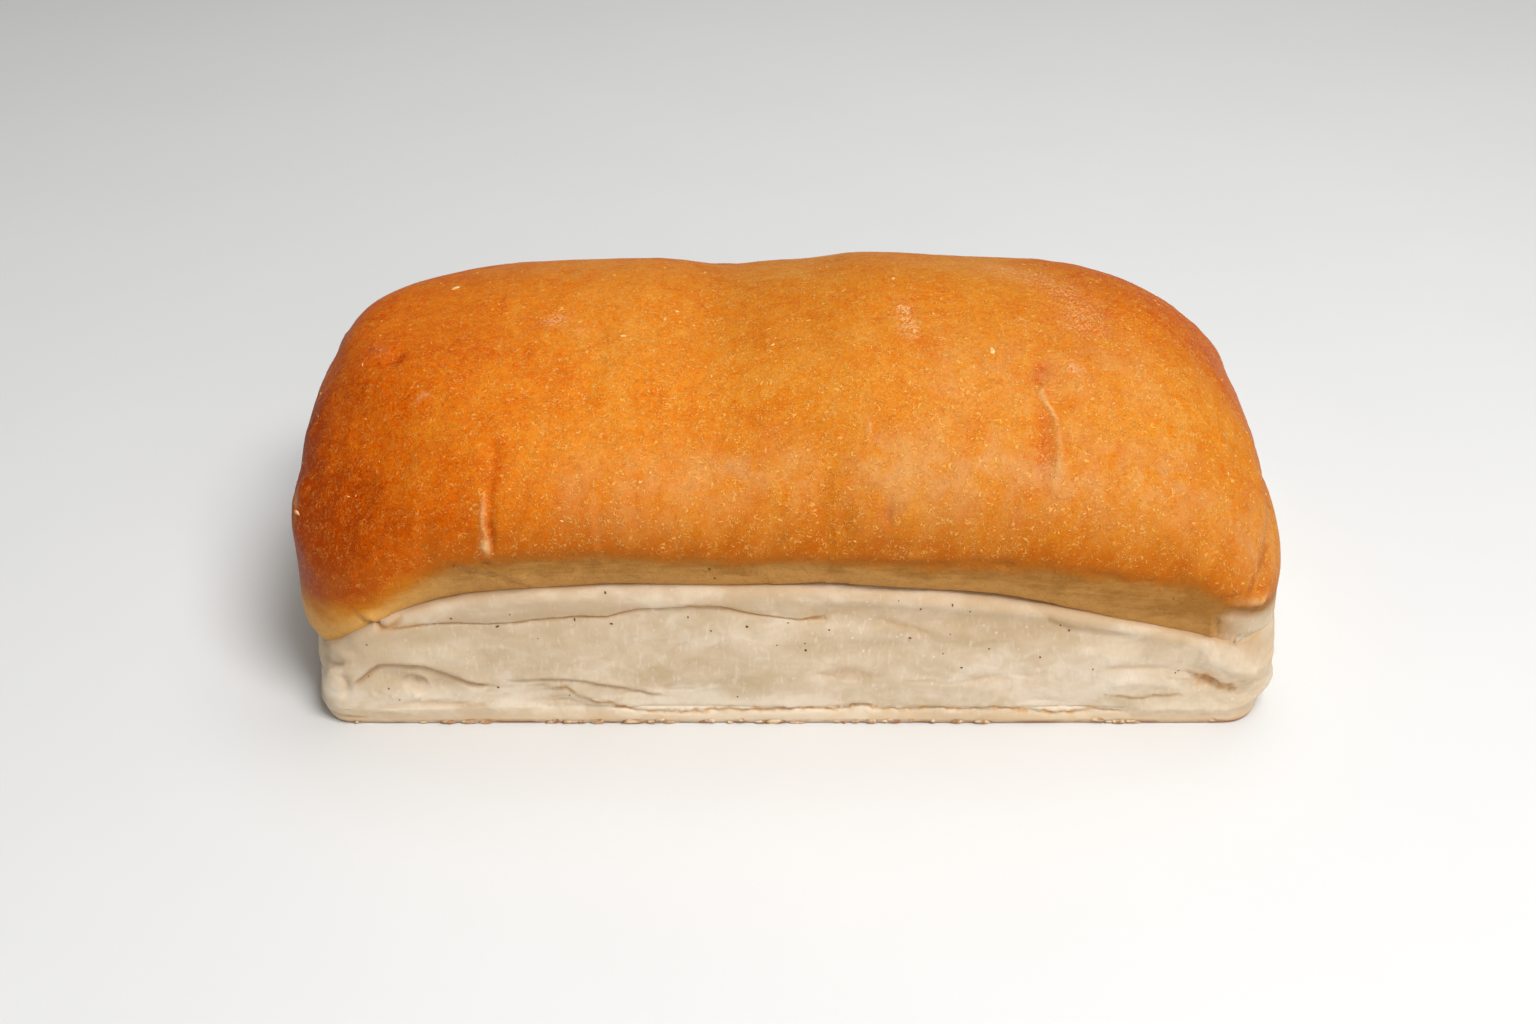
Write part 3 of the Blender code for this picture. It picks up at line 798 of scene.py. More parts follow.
# The strokes' tints. The bright tint on ridges and the sheen are painted highlights. The tints in grooves and
# dents, and the patchy one at the crust's edge, are painted shade. The brown line in creases is partly
# painted shade. Torn edges and dust are the dough's own colours.
TINTS = ("line", "torn", "glow", "dust", "deep", "sheen", "blush")
CRUST_ROW = sum(ROWS[:6])
FOOT_REACH = 3 * MM

# Height at which the crust turns from tan to golden, along the front and at the other three sides, in mm.
BAKED_FROM_X = (-111, -103, -97, -91, -84, -76, -66, -41, 2, 45, 67, 89, 96, 103, 111)
BAKED_FROM_Z = (28, 29, 31.5, 36.5, 41, 44.5, 47, 48, 46, 44.5, 43, 40, 35, 31.5, 30)
BAKED_FROM_SIDES = (43, 29, 30)
# How softly it turns, in mm, along most of the loaf and at its left end.
BAKED_SOFT, BAKED_SOFT_LEFT = 12, 19
# How far it strays from that height, in mm, and how much further at the front's left end.
BAKED_STRAY, BAKED_STRAY_LEFT = 1.6, 2.4
# How baked the tan dough is.
TAN = 0.34
# At the right end of the front the dough under the crust's edge stays pale from here on, in mm.
PALE_FROM_X = 97
# How far up the crust is painted darker above its edge, in mm: browned, and painted shade where the crust
# turns down.
BROWNED_AND_SHADED_REACH = 8.5

# How far up and down a line is rounded off, and how many times over. The lip stays sharp between the two
# places in LIP_SHARP_X, in mm.
SOFT_LIP = 2.4 * MM
SOFT_SEAM = 1.8 * MM
SOFT_FOLD = 2.6 * MM
SOFT_ROUNDS_FINE = 16
SOFT_ROUNDS_COARSE = 5
LIP_SHARP_X = (-80, 8)
# How much the lines are filled, and how far up and down, in mm. The fold is shallower at the left end of the
# front and at the right end of the loaf, and is filled by a share of this much along the rest of the front.
SEAM_FILL = 1.1
LIP_FILL = 0.34
FOLD_FILL = 1.1
FOLD_FILL_MIDDLE = 0.35
LINE_FILL_REACH = 1.6
FOLD_FILL_REACH = 2.4

# The fold's brown line, partly the dough's colour and partly painted shade in the fold: how far up and down
# it reaches, in mm, how strong it is, and how much of it is lost round the right end and at the front's left
# end.
CREASE_REACH = 0.4
CREASE_TINT = 0.5
CREASE_LOST_RIGHT, CREASE_LOST_LEFT = 0.7, 0.5
# The wall is in shade this far below the fold, in mm. So is the roll's lower half, this far above its crease
# and this far up and down.
SHADE_REACH = 6
SHADE_ABOVE_LIP = 1.3 * MM
SHADE_ROLL_REACH = 1.5 * MM
# The tan dough darkens over this height above the fold, and the wall is toasted up to this height, in mm.
TAN_RISE = 9
TOAST_HEIGHT = 0.9


class Skin:
    """Where each point of the fine mesh lies on the loaf: on which side, and on its wall or its crust."""

    def __init__(self, grid, points):
        u, v, w = grid.T
        row = part_row(w)
        self.on_top = (np.maximum(np.abs(u), np.abs(v)) < 1 - TOLERANCE) & (w > 0)
        edge_u, edge_v = np.where(self.on_top, 0, u), np.where(self.on_top, 1, v)
        self.at = Place(edge_u, edge_v, np.full_like(u, WALL_CORNER))
        self.above_fold = np.where(self.on_top, 100 * MM, points[:, 2] - fold_line(self.at))
        self.is_crust = self.on_top | (row > CRUST_ROW + TOLERANCE)
        self.front = np.where(self.on_top, 0, self.at.front)


def plain_ends(x):
    """1 at both ends of the front, where the wall has no seam, and 0 between them. Here x is in mm."""
    return past(-x, 56, 14) + past(x, 76, 14)


def baked(skin, points):
    """How baked the skin is, from 0 on the pale wall to 1 on the golden crust, and how dark the crust is
    painted above its edge.

    Tan dough shows under the crust's edge. Just above that edge the crust is browned, and painted with shade
    where it turns down.
    """
    x, y, z = points.T / MM
    front = np.interp(x, BAKED_FROM_X, BAKED_FROM_Z)
    back, left, right = (np.full_like(front, value) for value in BAKED_FROM_SIDES)
    edge = skin.at.mix((front, back, left, right))
    stray = BAKED_STRAY + BAKED_STRAY_LEFT * past(-x, 76, 24) * skin.front
    edge = edge + stray * rough(points, 14, 2, (2, 2, 1)) + 0.4 * rough(points, 3, 2, (2, 2, 1), 5)
    soft = np.interp(x, (-98, -72), (BAKED_SOFT_LEFT, BAKED_SOFT))
    share = np.where(skin.on_top, 1, past(z - edge, 0, soft))
    tan = TAN * (1 - past(x, PALE_FROM_X, 9) * past(-y, 0, 30))
    # Painted shade, with some browning, fading up from the crust's edge.
    browned_and_shaded = np.where(skin.on_top, 0, np.exp(-np.clip(z - edge, 0, None) / BROWNED_AND_SHADED_REACH))
    return np.where(skin.is_crust, tan + (1 - tan) * share, 0), browned_and_shaded


def soften_lines(box, skin, points):
    """Rounds off the form's lines where the dough has no crease, and gives the new points.

    Those are the wall's lines at both ends of the front, and the fold at the right end.
    """
    x, z = points[:, 0] / MM, points[:, 2]
    lines = side_lines(skin.at)
    lip = (np.abs(z - lines[LIP_LINE][0]) < SOFT_LIP) & ((x < LIP_SHARP_X[0]) | (x > LIP_SHARP_X[1]))
    seam = (np.abs(z - lines[SEAM_LINE][0]) < SOFT_SEAM) & (plain_ends(x) > 0.5)
    fold = (np.abs(skin.above_fold) < SOFT_FOLD) & (skin.at.right > 0.5)
    axes = dict(use_axis_x=True, use_axis_y=True, use_axis_z=True)
    for chosen, rounds in (((lip | seam) & (skin.front > 0.3), SOFT_ROUNDS_FINE), (fold, SOFT_ROUNDS_COARSE)):
        verts = [v for v, wanted in zip(box.verts, chosen) if wanted]
        for _ in range(rounds):
            bmesh.ops.smooth_vert(box, verts=verts, factor=0.5, **axes)
    return coordinates(box)


def fine_relief(skin, points):
    """How far the skin stands out from the smooth loaf, apart from its strokes, in mm."""
    x, _, z = points.T / MM
    shoulder = window(z, 44, 70, 10) * ~skin.on_top
    crust = 0.15 * rough(points, 17, 2) + 0.06 * rough(points, 5, 2, shift=7)
    crust += 0.34 * rough(points, 5, 2, (1, 1, 8), 3) * shoulder
    crust += 0.04 * rough(points, 1.5, 2, (6, 6, 1), 2) * window(skin.above_fold / MM, 0, 9, 3)
    wrinkles = np.clip(1 - np.abs(rough(points, 7, 3, (5, 5, 1), 11)) / 0.1, 0, 1) ** 1.5
    wall = 0.40 * rough(points, 11, 2, (2.2, 2.2, 1), 4) - (0.04 + 0.26 * window(z, -1, 15, 8)) * wrinkles
    wall += 0.05 * rough(points, 3.5, 2, (1.3, 1.3, 1), 6)
    wall += 0.12 * rough(points, 2.2, 2, (1.4, 1.4, 1), 9) * past(-z, -6, 3)
    lines = side_lines(skin.at)
    closed = skin.front * plain_ends(x) + skin.at.right
    wall += SEAM_FILL * bell(points[:, 2] - lines[SEAM_LINE][0], LINE_FILL_REACH * MM) * np.clip(closed, 0, 1)
    wall += LIP_FILL * bell(points[:, 2] - lines[LIP_LINE][0], LINE_FILL_REACH * MM)
    shallow = np.maximum(past(-x, 92, 14), FOLD_FILL_MIDDLE) * skin.front + skin.at.right
    fold = FOLD_FILL * bell(skin.above_fold, FOLD_FILL_REACH * MM) * np.clip(shallow, 0, 1)
    return np.where(skin.is_crust, crust, wall) + fold


def apply_strokes(surface, strokes, masks):
    """The height that the strokes give each point, in mm. Adds their tints to the masks."""
    height = np.zeros(len(surface.points))
    for stroke in strokes:
        chosen, d, share = near_stroke(surface, stroke)
        if not len(chosen):
            continue
        near = surface.points[chosen]
        length = sum(math.dist(a, b) for a, b in zip(stroke.path[:-1], stroke.path[1:])) * MM
        d = d + (RAGGED_TEAR if stroke.tint == "torn" else RAGGED) * rough(near, 3, 3, shift=1)
        strength = tapered(share, length, stroke.width * MM) * (1 + 0.35 * rough(near, 6, 1, shift=2))
        height[chosen] += stroke_height(stroke, d) * stroke.height * strength
        if stroke.tint:
            under = LAP_TINT_BELOW * stroke.width * (stroke.shape == "lap")
            tint = bell(d + under, stroke.width * stroke.reach) * stroke.amount * strength
            mask = masks[stroke.tint]
            mask[chosen] = np.maximum(mask[chosen], np.clip(tint, 0, 1))
    return height


def add_shading_masks(masks, skin, points):
    """Adds the masks that follow the finished form: toasted foot, crust, shade, and the fold's brown line,
    which is partly painted shade.
    """
    x, _, z = points.T / MM
    masks["toast"] = past(-z, -TOAST_HEIGHT, 1.2)
    masks["shell"] = np.where(skin.is_crust, np.clip(masks["baked"] / TAN, 0, 1), 0)
    above_lip = points[:, 2] - side_lines(skin.at)[LIP_LINE][0]
    roll = bell(above_lip - SHADE_ABOVE_LIP, SHADE_ROLL_REACH) * skin.front * window(points[:, 0], *CREASED_X)
    below_fold = np.exp(np.minimum(skin.above_fold, 0) / (SHADE_REACH * MM))
    masks["shade"] = np.where(skin.is_crust, 0, np.maximum(below_fold, roll))
    masks["rise"] = np.clip(skin.above_fold / (TAN_RISE * MM), 0, 1)
    kept = 1 - CREASE_LOST_RIGHT * skin.at.right - CREASE_LOST_LEFT * past(-x, 78, 16) * skin.front
    masks["line"] = np.maximum(masks["line"], CREASE_TINT * bell(skin.above_fold, CREASE_REACH * MM) * kept)


def make_loaf():
    box = fine_box()
    grid = coordinates(box)
    points = loaf_points(grid)
    off_floor = np.clip(points[:, 2] / FOOT_REACH, 0, 1)
    points += set_points(box, points) * (swell(points) * off_floor)[:, None]
    points[:, :2] -= (points.min(axis=0)[:2] + points.max(axis=0)[:2]) / 2
    set_points(box, points)

    skin = Skin(grid, points)
    masks = {tint: np.zeros(len(points)) for tint in TINTS}
    masks["baked"], masks["browned_and_shaded"] = baked(skin, points)
    points = soften_lines(box, skin, points)
    normals = set_points(box, points)
    height = fine_relief(skin, points)
    height += apply_strokes(Surface(points.copy(), normals), SHOWN_STROKES + hidden_strokes(), masks)
    points += normals * (height * MM * off_floor)[:, None]
    low, high = points.min(axis=0), points.max(axis=0)
    cad_low, cad_high = (np.array(corner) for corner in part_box("loaf"))
    points = cad_low + (points - low) * (cad_high - cad_low) / (high - low)
    normals = set_points(box, points)
    add_shading_masks(masks, skin, points)

    mesh = bpy.data.meshes.new("loaf_skin")
    box.to_mesh(mesh)
    box.free()
    for name, values in masks.items():
        mesh.attributes.new(name, "FLOAT", "POINT").data.foreach_set("value", values.astype(np.float32))
    mesh.shade_smooth()
    return add_object("loaf_skin", mesh), Surface(points, normals)


# ---- Materials ----
class Graph:
    """A material's nodes, built a step at a time. A value is a number, a colour or another node's output."""

    def __init__(self, name):
        self.material = bpy.data.materials.new(name)
        self.material.use_nodes = True
        self.tree = self.material.node_tree
        self.place = self.node("ShaderNodeTexCoord").outputs["Object"]

    def node(self, kind, inputs=None, **settings):
        """A new node with these settings, and with these values on its inputs."""
        node = self.tree.nodes.new(kind)
        for name, value in settings.items():
            setattr(node, name, value)
        self.feed(node, inputs or {})
        return node

    def feed(self, node, inputs):
        for name, value in inputs.items():
            socket = node.inputs[name]
            if isinstance(value, bpy.types.NodeSocket):
                self.tree.links.new(value, socket)
            else:
                socket.default_value = (*value, 1) if socket.type == "RGBA" else value

    def shade(self, inputs):
        """Puts these values on the surface shader's inputs, and gives the finished material."""
        self.feed(self.tree.nodes["Principled BSDF"], inputs)
        return self.material

    def stretched(self, stretch, shift, lean=0.0):
        """The place on the loaf, stretched, shifted and leaning by this many degrees."""
        moved, turned = (shift * 0.1, shift * 0.07, shift * 0.03), (0, math.radians(lean), 0)
        inputs = {"Vector": self.place, "Location": moved, "Rotation": turned, "Scale": stretch}
        return self.node("ShaderNodeMapping", inputs, vector_type="TEXTURE").outputs["Vector"]

    def noise(self, size, detail=2.0, distortion=0.0, stretch=(1, 1, 1), shift=0.0, lean=0.0):
        """Noise from 0 to 1, with features this size in mm, leaning by this many degrees."""
        place = self.stretched(stretch, shift, lean)
        inputs = {"Vector": place, "Scale": 1 / (size * MM), "Detail": detail, "Distortion": distortion}
        return self.node("ShaderNodeTexNoise", inputs).outputs["Fac"]

    def dots(self, gap, radius, rarity, shift=0.0):
        """Dots about this gap apart in mm, from 0 to 1.

        Each fades in from the first radius to the second, as shares of the gap. A dot is missing where its
        random number is under the first rarity, and whole where it is over the second.
        """
        inputs = {"Vector": self.stretched((1, 1, 1), shift), "Scale": 1 / (gap * MM)}
        cells = self.node("ShaderNodeTexVoronoi", inputs)
        distance, colour = cells.outputs["Distance"], cells.outputs["Color"]
        return self.product(self.fit(distance, *radius), self.fit(colour, *rarity))

    def math(self, operation, a, b=0.0):
        return self.node("ShaderNodeMath", {0: a, 1: b}, operation=operation).outputs[0]

    def product(self, result, *factors):
        for factor in factors:
            result = self.math("MULTIPLY", result, factor)
        return result

    def plus(self, result, *terms):
        for term in terms:
            result = self.math("ADD", result, term)
        return result

    def total(self, *weighted):
        """The sum of (value, weight) pairs, each value counted from its middle, 0.5."""
        terms = [self.product(self.math("SUBTRACT", value, 0.5), weight) for value, weight in weighted]
        return self.plus(0.5, *terms)

    def fit(self, value, low, high, to_low=0.0, to_high=1.0):
        """Carries low to high smoothly onto to_low to to_high."""
        inputs = {"Value": value, "From Min": low, "From Max": high, "To Min": to_low, "To Max": to_high}
        return self.node("ShaderNodeMapRange", inputs, interpolation_type="SMOOTHSTEP").outputs["Result"]

    def ramp(self, value, *stops):
        node = self.node("ShaderNodeValToRGB", {"Fac": value})
        elements = node.color_ramp.elements
        while len(elements) < len(stops):
            elements.new(1.0)
        for element, (position, colour) in zip(elements, stops):
            element.position = position
            element.color = (*colour, 1)
        return node.outputs["Color"]

    def mix(self, share, a, b, blend="MIX"):
        inputs = {0: share, 6: a, 7: b}
        settings = dict(data_type="RGBA", blend_type=blend, clamp_factor=True)
        return self.node("ShaderNodeMix", inputs, **settings).outputs[2]

    def paint(self, base, colour, *shares):
        """The base with a colour laid over it, by the product of the shares."""
        return self.mix(self.product(*shares), base, colour)

    def attribute(self, name):
        return self.node("ShaderNodeAttribute", attribute_name=name).outputs["Fac"]

    def bump(self, height, distance, strength=1.0, under=None):
        """The normal of a relief this high in mm, on top of the relief whose normal is under."""
        inputs = {"Distance": distance * MM, "Strength": strength, "Height": height}
        if under is not None:
            inputs["Normal"] = under
        return self.node("ShaderNodeBump", inputs).outputs["Normal"]


GOLD_LIGHT = (0.755, 0.352, 0.073)
GOLD = (0.705, 0.213, 0.010)
GOLD_DEEP = (0.595, 0.097, 0.0003)
GOLD_DARK = (0.37, 0.043, 0.0001)
# Paler colour painted as a sheen where the crust's front catches the light.
SHEEN = (0.70, 0.352, 0.138)
# Brown painted above the crust's edge and in patches there: some browning, and painted shade.
SHADED_BROWN = (0.48, 0.106, 0.003)
TAN_DOUGH = (0.35, 0.148, 0.028)
TAN_LIGHT = (0.53, 0.260, 0.070)
AMBER = (0.84, 0.440, 0.115)
# Brown of the band at the crust's edge: partly its colour, partly painted shade where the crust turns under.
BROWN_EDGE = (0.38, 0.110, 0.008)
AMBER_EDGE = (0.68, 0.250, 0.012)
LESS_RED = (0.92, 0.965, 1.0)
PALE = (0.67, 0.530, 0.372)
PALE_LIGHT = (0.80, 0.69, 0.545)
PALE_SHADE = (0.57, 0.43, 0.265)
PALE_UNDER_FOLD = (0.56, 0.405, 0.25)
PALE_FOOT = (0.72, 0.53, 0.33)
FRAYED = (0.90, 0.82, 0.70)
# Brown of the creases: partly the dough's colour, partly painted shade.
LINE_BROWN = (0.50, 0.24, 0.07)
TORN_ORANGE = (0.68, 0.38, 0.14)
TOAST_BROWN = (0.34, 0.13, 0.035)
DUST = (0.92, 0.56, 0.30)
# Light painted on the crust's fine curls and dots: glints, and pale specks.
GLINT_AND_SPECK_LIGHT = (0.94, 0.51, 0.125)
GLINT_AND_SPECK_DEEP = (0.92, 0.40, 0.070)
# Cream painted on ridges and flanks as a highlight.
PAINTED_HIGHLIGHT = (0.94, 0.66, 0.30)
WARM_GLOSS = (1.0, 0.6, 0.22)
FLOOR_DARK = (0.77, 0.77, 0.76)
FLOOR_LIGHT = (0.80, 0.80, 0.79)

# Zones along the loaf, in depth and in height: where each begins, and where it is full.
LEFT_X = (-38 * MM, -112 * MM)
RIGHT_X = (40 * MM, 98 * MM)
RIGHT_TIP_X = (94 * MM, 106 * MM)
LESS_RED_X = (-50 * MM, 10 * MM)
FAR_Y = (-36 * MM, 6 * MM)
LOWER_CRUST_Z = (66 * MM, 51 * MM)
STRIP_Z = (14 * MM, 7 * MM)
FOOT_Z = (4.0 * MM, 2.2 * MM)


class LoafGraph(Graph):
    """The loaf's material, with the values that its layers share."""

    def __init__(self):
        super().__init__("crust_and_dough")
        self.x, self.y, self.z = self.node("ShaderNodeSeparateXYZ", {0: self.place}).outputs
        self.shell = self.attribute("shell")
        self.leftness = self.fit(self.x, *LEFT_X)
        self.left_end = self.fit(self.leftness, 0.4, 0.85)
        self.patches = self.noise(6, 3, 0.8, (1, 1, 2.6), 3, lean=35)
        # Patches of painted shade along the crust's lower edge and under laps.
        self.blush = self.product(self.attribute("blush"), self.fit(self.patches, 0.42, 0.62))
        curl = self.math("SUBTRACT", self.noise(1.3, 0, 1.8, shift=4.1), 0.5)
        beside = self.math("ABSOLUTE", self.math("SUBTRACT", curl, 0.09))
        dashed = self.fit(self.noise(1.7, 1, 0, shift=4.4), 0.42, 0.54)
        self.curls = self.product(self.fit(self.math("ABSOLUTE", curl), 0.06, 0.012), dashed)
        self.curl_shadows = self.product(self.fit(beside, 0.05, 0.0), dashed)


def crust_tone(g):
    """How deep the golden crust's colour is, from 0 to 1: tone that differs at random, deeper towards the
    left end as baked colour and painted shade, deeper low down there and at the back on the right, and
    painted shade in grooves and dents.
    """
    broad = g.noise(34, 2, 0.4)
    drawn_out = g.noise(3.2, 2, 0.6, (1, 5, 5), 13)
    small = g.noise(2.2, 3, 1.0, shift=5)
    grain = g.noise(0.8, 1, 1.6, shift=1)
    layers = ((broad, 0.35), (g.patches, 0.36), (small, 0.22), (grain, 0.66), (drawn_out, 0.22))
    far = g.fit(g.y, *FAR_Y)
    lower = g.fit(g.z, *LOWER_CRUST_Z, 0.0, 0.20)
    left = g.product(g.leftness, g.plus(lower, g.fit(far, 0, 1, 0.36, 0.26)))
    right = g.product(far, g.fit(g.x, *RIGHT_X, 0.02, 0.28))
    # The deep tint is painted shade in grooves and dents.
    return g.plus(g.total(*layers), left, g.product(g.attribute("deep"), 0.28), right)


def crust_with_painted_light(g):
    """The golden crust: painted sheen where it shines, painted shade with some browning above its edge, more
    painted shade in patches there, and redder at the left.
    """
    crust = g.ramp(crust_tone(g), (0.16, GOLD_LIGHT), (0.50, GOLD), (0.80, GOLD_DEEP), (1.0, GOLD_DARK))
    # Painted sheen: a paler colour, in patches, where the crust's front catches the light.
    sheen_patches = g.fit(g.noise(5, 3, 0.5, (1, 1, 2.6), 6, lean=20), 0.25, 0.7)
    crust = g.paint(crust, SHEEN, g.attribute("sheen"), sheen_patches, 0.55)
    # Painted shade, with some browning, on the crust just above its edge, where it turns down away from the
    # light.
    patchy = g.fit(g.patches, 0.3, 0.6, 0.65, 1.0)
    less_left = g.fit(g.left_end, 0, 1, 1.0, 0.3)
    less_right = g.fit(g.x, *RIGHT_TIP_X, 1.0, 0.3)
    crust = g.paint(crust, SHADED_BROWN, g.attribute("browned_and_shaded"), patchy, less_left, less_right)
    crust = g.mix(g.fit(g.x, *LESS_RED_X), crust, LESS_RED, "MULTIPLY")
    # More painted shade, in patches along the crust's lower edge.
    return g.paint(crust, SHADED_BROWN, g.blush)


def grained_crust(g):
    """The crust with its fine marks: curls painted light as glints, with painted shadows beside them, light
    dots that are partly specks and partly painted glints, dark freckles and dust.
    """
    crust = g.paint(crust_with_painted_light(g), GOLD_DEEP, g.curl_shadows, 0.5)
    # Painted glints on the curls and dots, fainter and deeper at the left end, away from the light.
    dots = g.dots(1.1, (0.20, 0.08), (0.5, 0.75))
    marks = g.math("MAXIMUM", g.product(g.curls, 0.55), g.product(dots, 0.45))
    fainter_left = g.math("SUBTRACT", 1.0, g.product(g.leftness, 0.35))
    light = g.mix(g.fit(g.leftness, 0.0, 0.8), GLINT_AND_SPECK_LIGHT, GLINT_AND_SPECK_DEEP)
    crust = g.paint(crust, light, marks, fainter_left)
    crust = g.paint(crust, GOLD_DEEP, g.dots(3.1, (0.14, 0.06), (0.5, 0.7), shift=0.4), 0.35)
    # Painted highlights on the crust's ridges and flanks.
    crust = g.paint(crust, PAINTED_HIGHLIGHT, g.attribute("glow"), 0.75)
    powder = g.fit(g.noise(0.9, 2, 1.5, shift=8), 0.48, 0.60)
    return g.paint(crust, DUST, g.attribute("dust"), powder, 0.8)


def crust_over_tan(g):
    """The crust, and the tan dough that shows below the golden part of it, with a brown edge between that is
    partly painted shade.
    """
    waver = g.total((g.noise(3.2, 3, 0.8, (2, 2, 1), 2), 0.22), (g.noise(9, 2, 0, (2, 2, 1), 6), 0.15))
    baked = g.plus(g.attribute("baked"), g.math("SUBTRACT", waver, 0.5))
    flow, cloud = g.noise(0.9, 2, 0.5, (9, 9, 1)), g.noise(7, 3, 0.5, (1.6, 1.6, 1), 4)
    streaks = g.total((flow, 0.38), (cloud, 0.9))
    lower = g.fit(g.attribute("rise"), 0, 1, 0.28, -0.16)
    streaks = g.plus(streaks, g.product(g.leftness, 0.35), lower)
    tan = g.mix(g.fit(streaks, 0.3, 0.7), TAN_DOUGH, TAN_LIGHT)
    tan = g.paint(tan, AMBER, g.left_end, 0.75)
    # The brown edge is partly painted shade where the crust turns under.
    edge = g.mix(g.product(g.left_end, 0.85), BROWN_EDGE, AMBER_EDGE)
    under = g.mix(g.fit(baked, 0.38, 0.66), tan, edge)
    # Painted shade in patches on the dough just under the crust's edge.
    under = g.paint(under, BROWN_EDGE, g.blush, 0.7)
    return g.mix(g.fit(baked, 0.48, 0.86), under, grained_crust(g))


def pale_dough(g):
    """The wall: mottled, frayed here and there, with painted highlights, painted shade under the fold and
    towards the left end, and lighter above the foot.
    """
    coarse = g.noise(12, 3, 0.8, (2, 2, 1), 9)
    mottle = g.total((coarse, 1.05), (g.noise(3.5, 3, 0.8, (1.3, 1.3, 1), 4), 0.5))
    pale = g.ramp(mottle, (0.25, PALE_SHADE), (0.50, PALE), (0.78, PALE_LIGHT))
    dashes = g.fit(g.noise(0.9, 2, 0.4, (1, 1, 3.2), 12), 0.55, 0.75)
    pale = g.paint(pale, FRAYED, dashes, 0.3)
    pale = g.paint(pale, FRAYED, g.dots(2.6, (0.16, 0.06), (0.55, 0.8), shift=0.9), 0.6)
    # Painted highlights on the wall's ridges and lobes.
    pale = g.paint(pale, FRAYED, g.attribute("glow"), 0.5)
    # Painted shade: the wall darker towards the left end, away from the light.
    pale = g.paint(pale, PALE_SHADE, g.leftness, 0.28)
    deeper = g.fit(mottle, 0.75, 0.3, 0.35, 0.85)
    pale = g.paint(pale, PALE_UNDER_FOLD, g.attribute("shade"), deeper)
    strip, foot = g.fit(g.z, *STRIP_Z), g.fit(g.z, *FOOT_Z)
    pale = g.paint(pale, PALE_LIGHT, strip, g.fit(mottle, 0.3, 0.7, 0.25, 0.85))
    return g.paint(pale, PALE_FOOT, foot, g.fit(mottle, 0.3, 0.7, 0.75, 0.35))


def marked_skin(g):
    """Crust and wall, with brown lines in the creases that are partly painted shade, and with tears and a
    toasted foot drawn over both.
    """
    skin = g.mix(g.shell, pale_dough(g), crust_over_tan(g))
    frayed = g.fit(g.noise(1.3, 2, 0.8, (2, 2, 1), 15), 0.36, 0.6)
    skin = g.paint(skin, TORN_ORANGE, g.attribute("torn"), frayed, 0.9)
    # Brown lines in the creases: partly the dough's colour, partly painted shade where the crease's shade
    # falls.
    skin = g.paint(skin, LINE_BROWN, g.attribute("line"), 0.85)
    burnt = g.fit(g.noise(5, 3, 0.5, (2, 2, 1), 18), 0.45, 0.62)
    return g.paint(skin, TOAST_BROWN, g.attribute("toast"), g.fit(burnt, 0, 1, 0.35, 1.0))


def skin_roughness(g):
    """Matt on the wall, and satin on the crust."""
    spread = g.noise(1.2, 2, 1.0, shift=21)
    wall, crust = g.fit(spread, 0.3, 0.7, 0.55, 0.70), g.fit(spread, 0.3, 0.7, 0.40, 0.56)
    return g.node("ShaderNodeMix", {0: g.shell, 2: wall, 3: crust}, data_type="FLOAT").outputs[0]


def skin_relief(g):
    """The normal of the finest relief: fine curls, mostly on the crust, over soft bumps."""
    curls = g.plus(g.noise(0.75, 2, 1.6, shift=3.1), g.product(g.curls, 0.5))
    curls = g.product(curls, g.fit(g.shell, 0, 1, 0.12, 1.0))
    soft = g.bump(g.noise(3.2, 2, 0.6, shift=3.5), 0.25, g.fit(g.shell, 0, 1, 0.4, 0.8))
    return g.bump(curls, 0.16, under=soft)


def loaf_material():
    g = LoafGraph()
    return g.shade({
        "Base Color": marked_skin(g),
        "Roughness": skin_roughness(g),
        "Normal": skin_relief(g),
        "Subsurface Weight": g.fit(g.shell, 0, 1, 0.5, 0.03),
        "Subsurface Radius": (1.0, 0.78, 0.58),
        "Subsurface Scale": 1.3 * MM,
        "IOR": 1.34,
        "Specular IOR Level": 0.3,
        "Specular Tint": WARM_GLOSS,
    })


def floor_material():
    g = Graph("floor")
    return g.shade({"Base Color": g.mix(g.noise(60, 3), FLOOR_DARK, FLOOR_LIGHT), "Roughness": 0.8})


def plain_material(name, dark, light, size):
    """Two colours in patches of this size in mm, with a matt, rough skin."""
    g = Graph(name)
    patches = g.noise(size, 2, 0.5)
    return g.shade({
        "Base Color": g.mix(g.fit(patches, 0.35, 0.65), dark, light),
        "Roughness": g.fit(patches, 0.3, 0.7, 0.6, 0.8),
        "Normal": g.bump(g.noise(size / 4, 2, shift=3), 0.1),
        "Specular IOR Level": 0.25,
    })


# ---- Specks, flakes and crumbs on the skin: one piece for each kind, with sizes in mm ----
Chip = namedtuple("Chip", "view across up long wide thick")

SPECK_SEED, FLAKE_SEED, SCRAP_SEED = 5, 11, 17
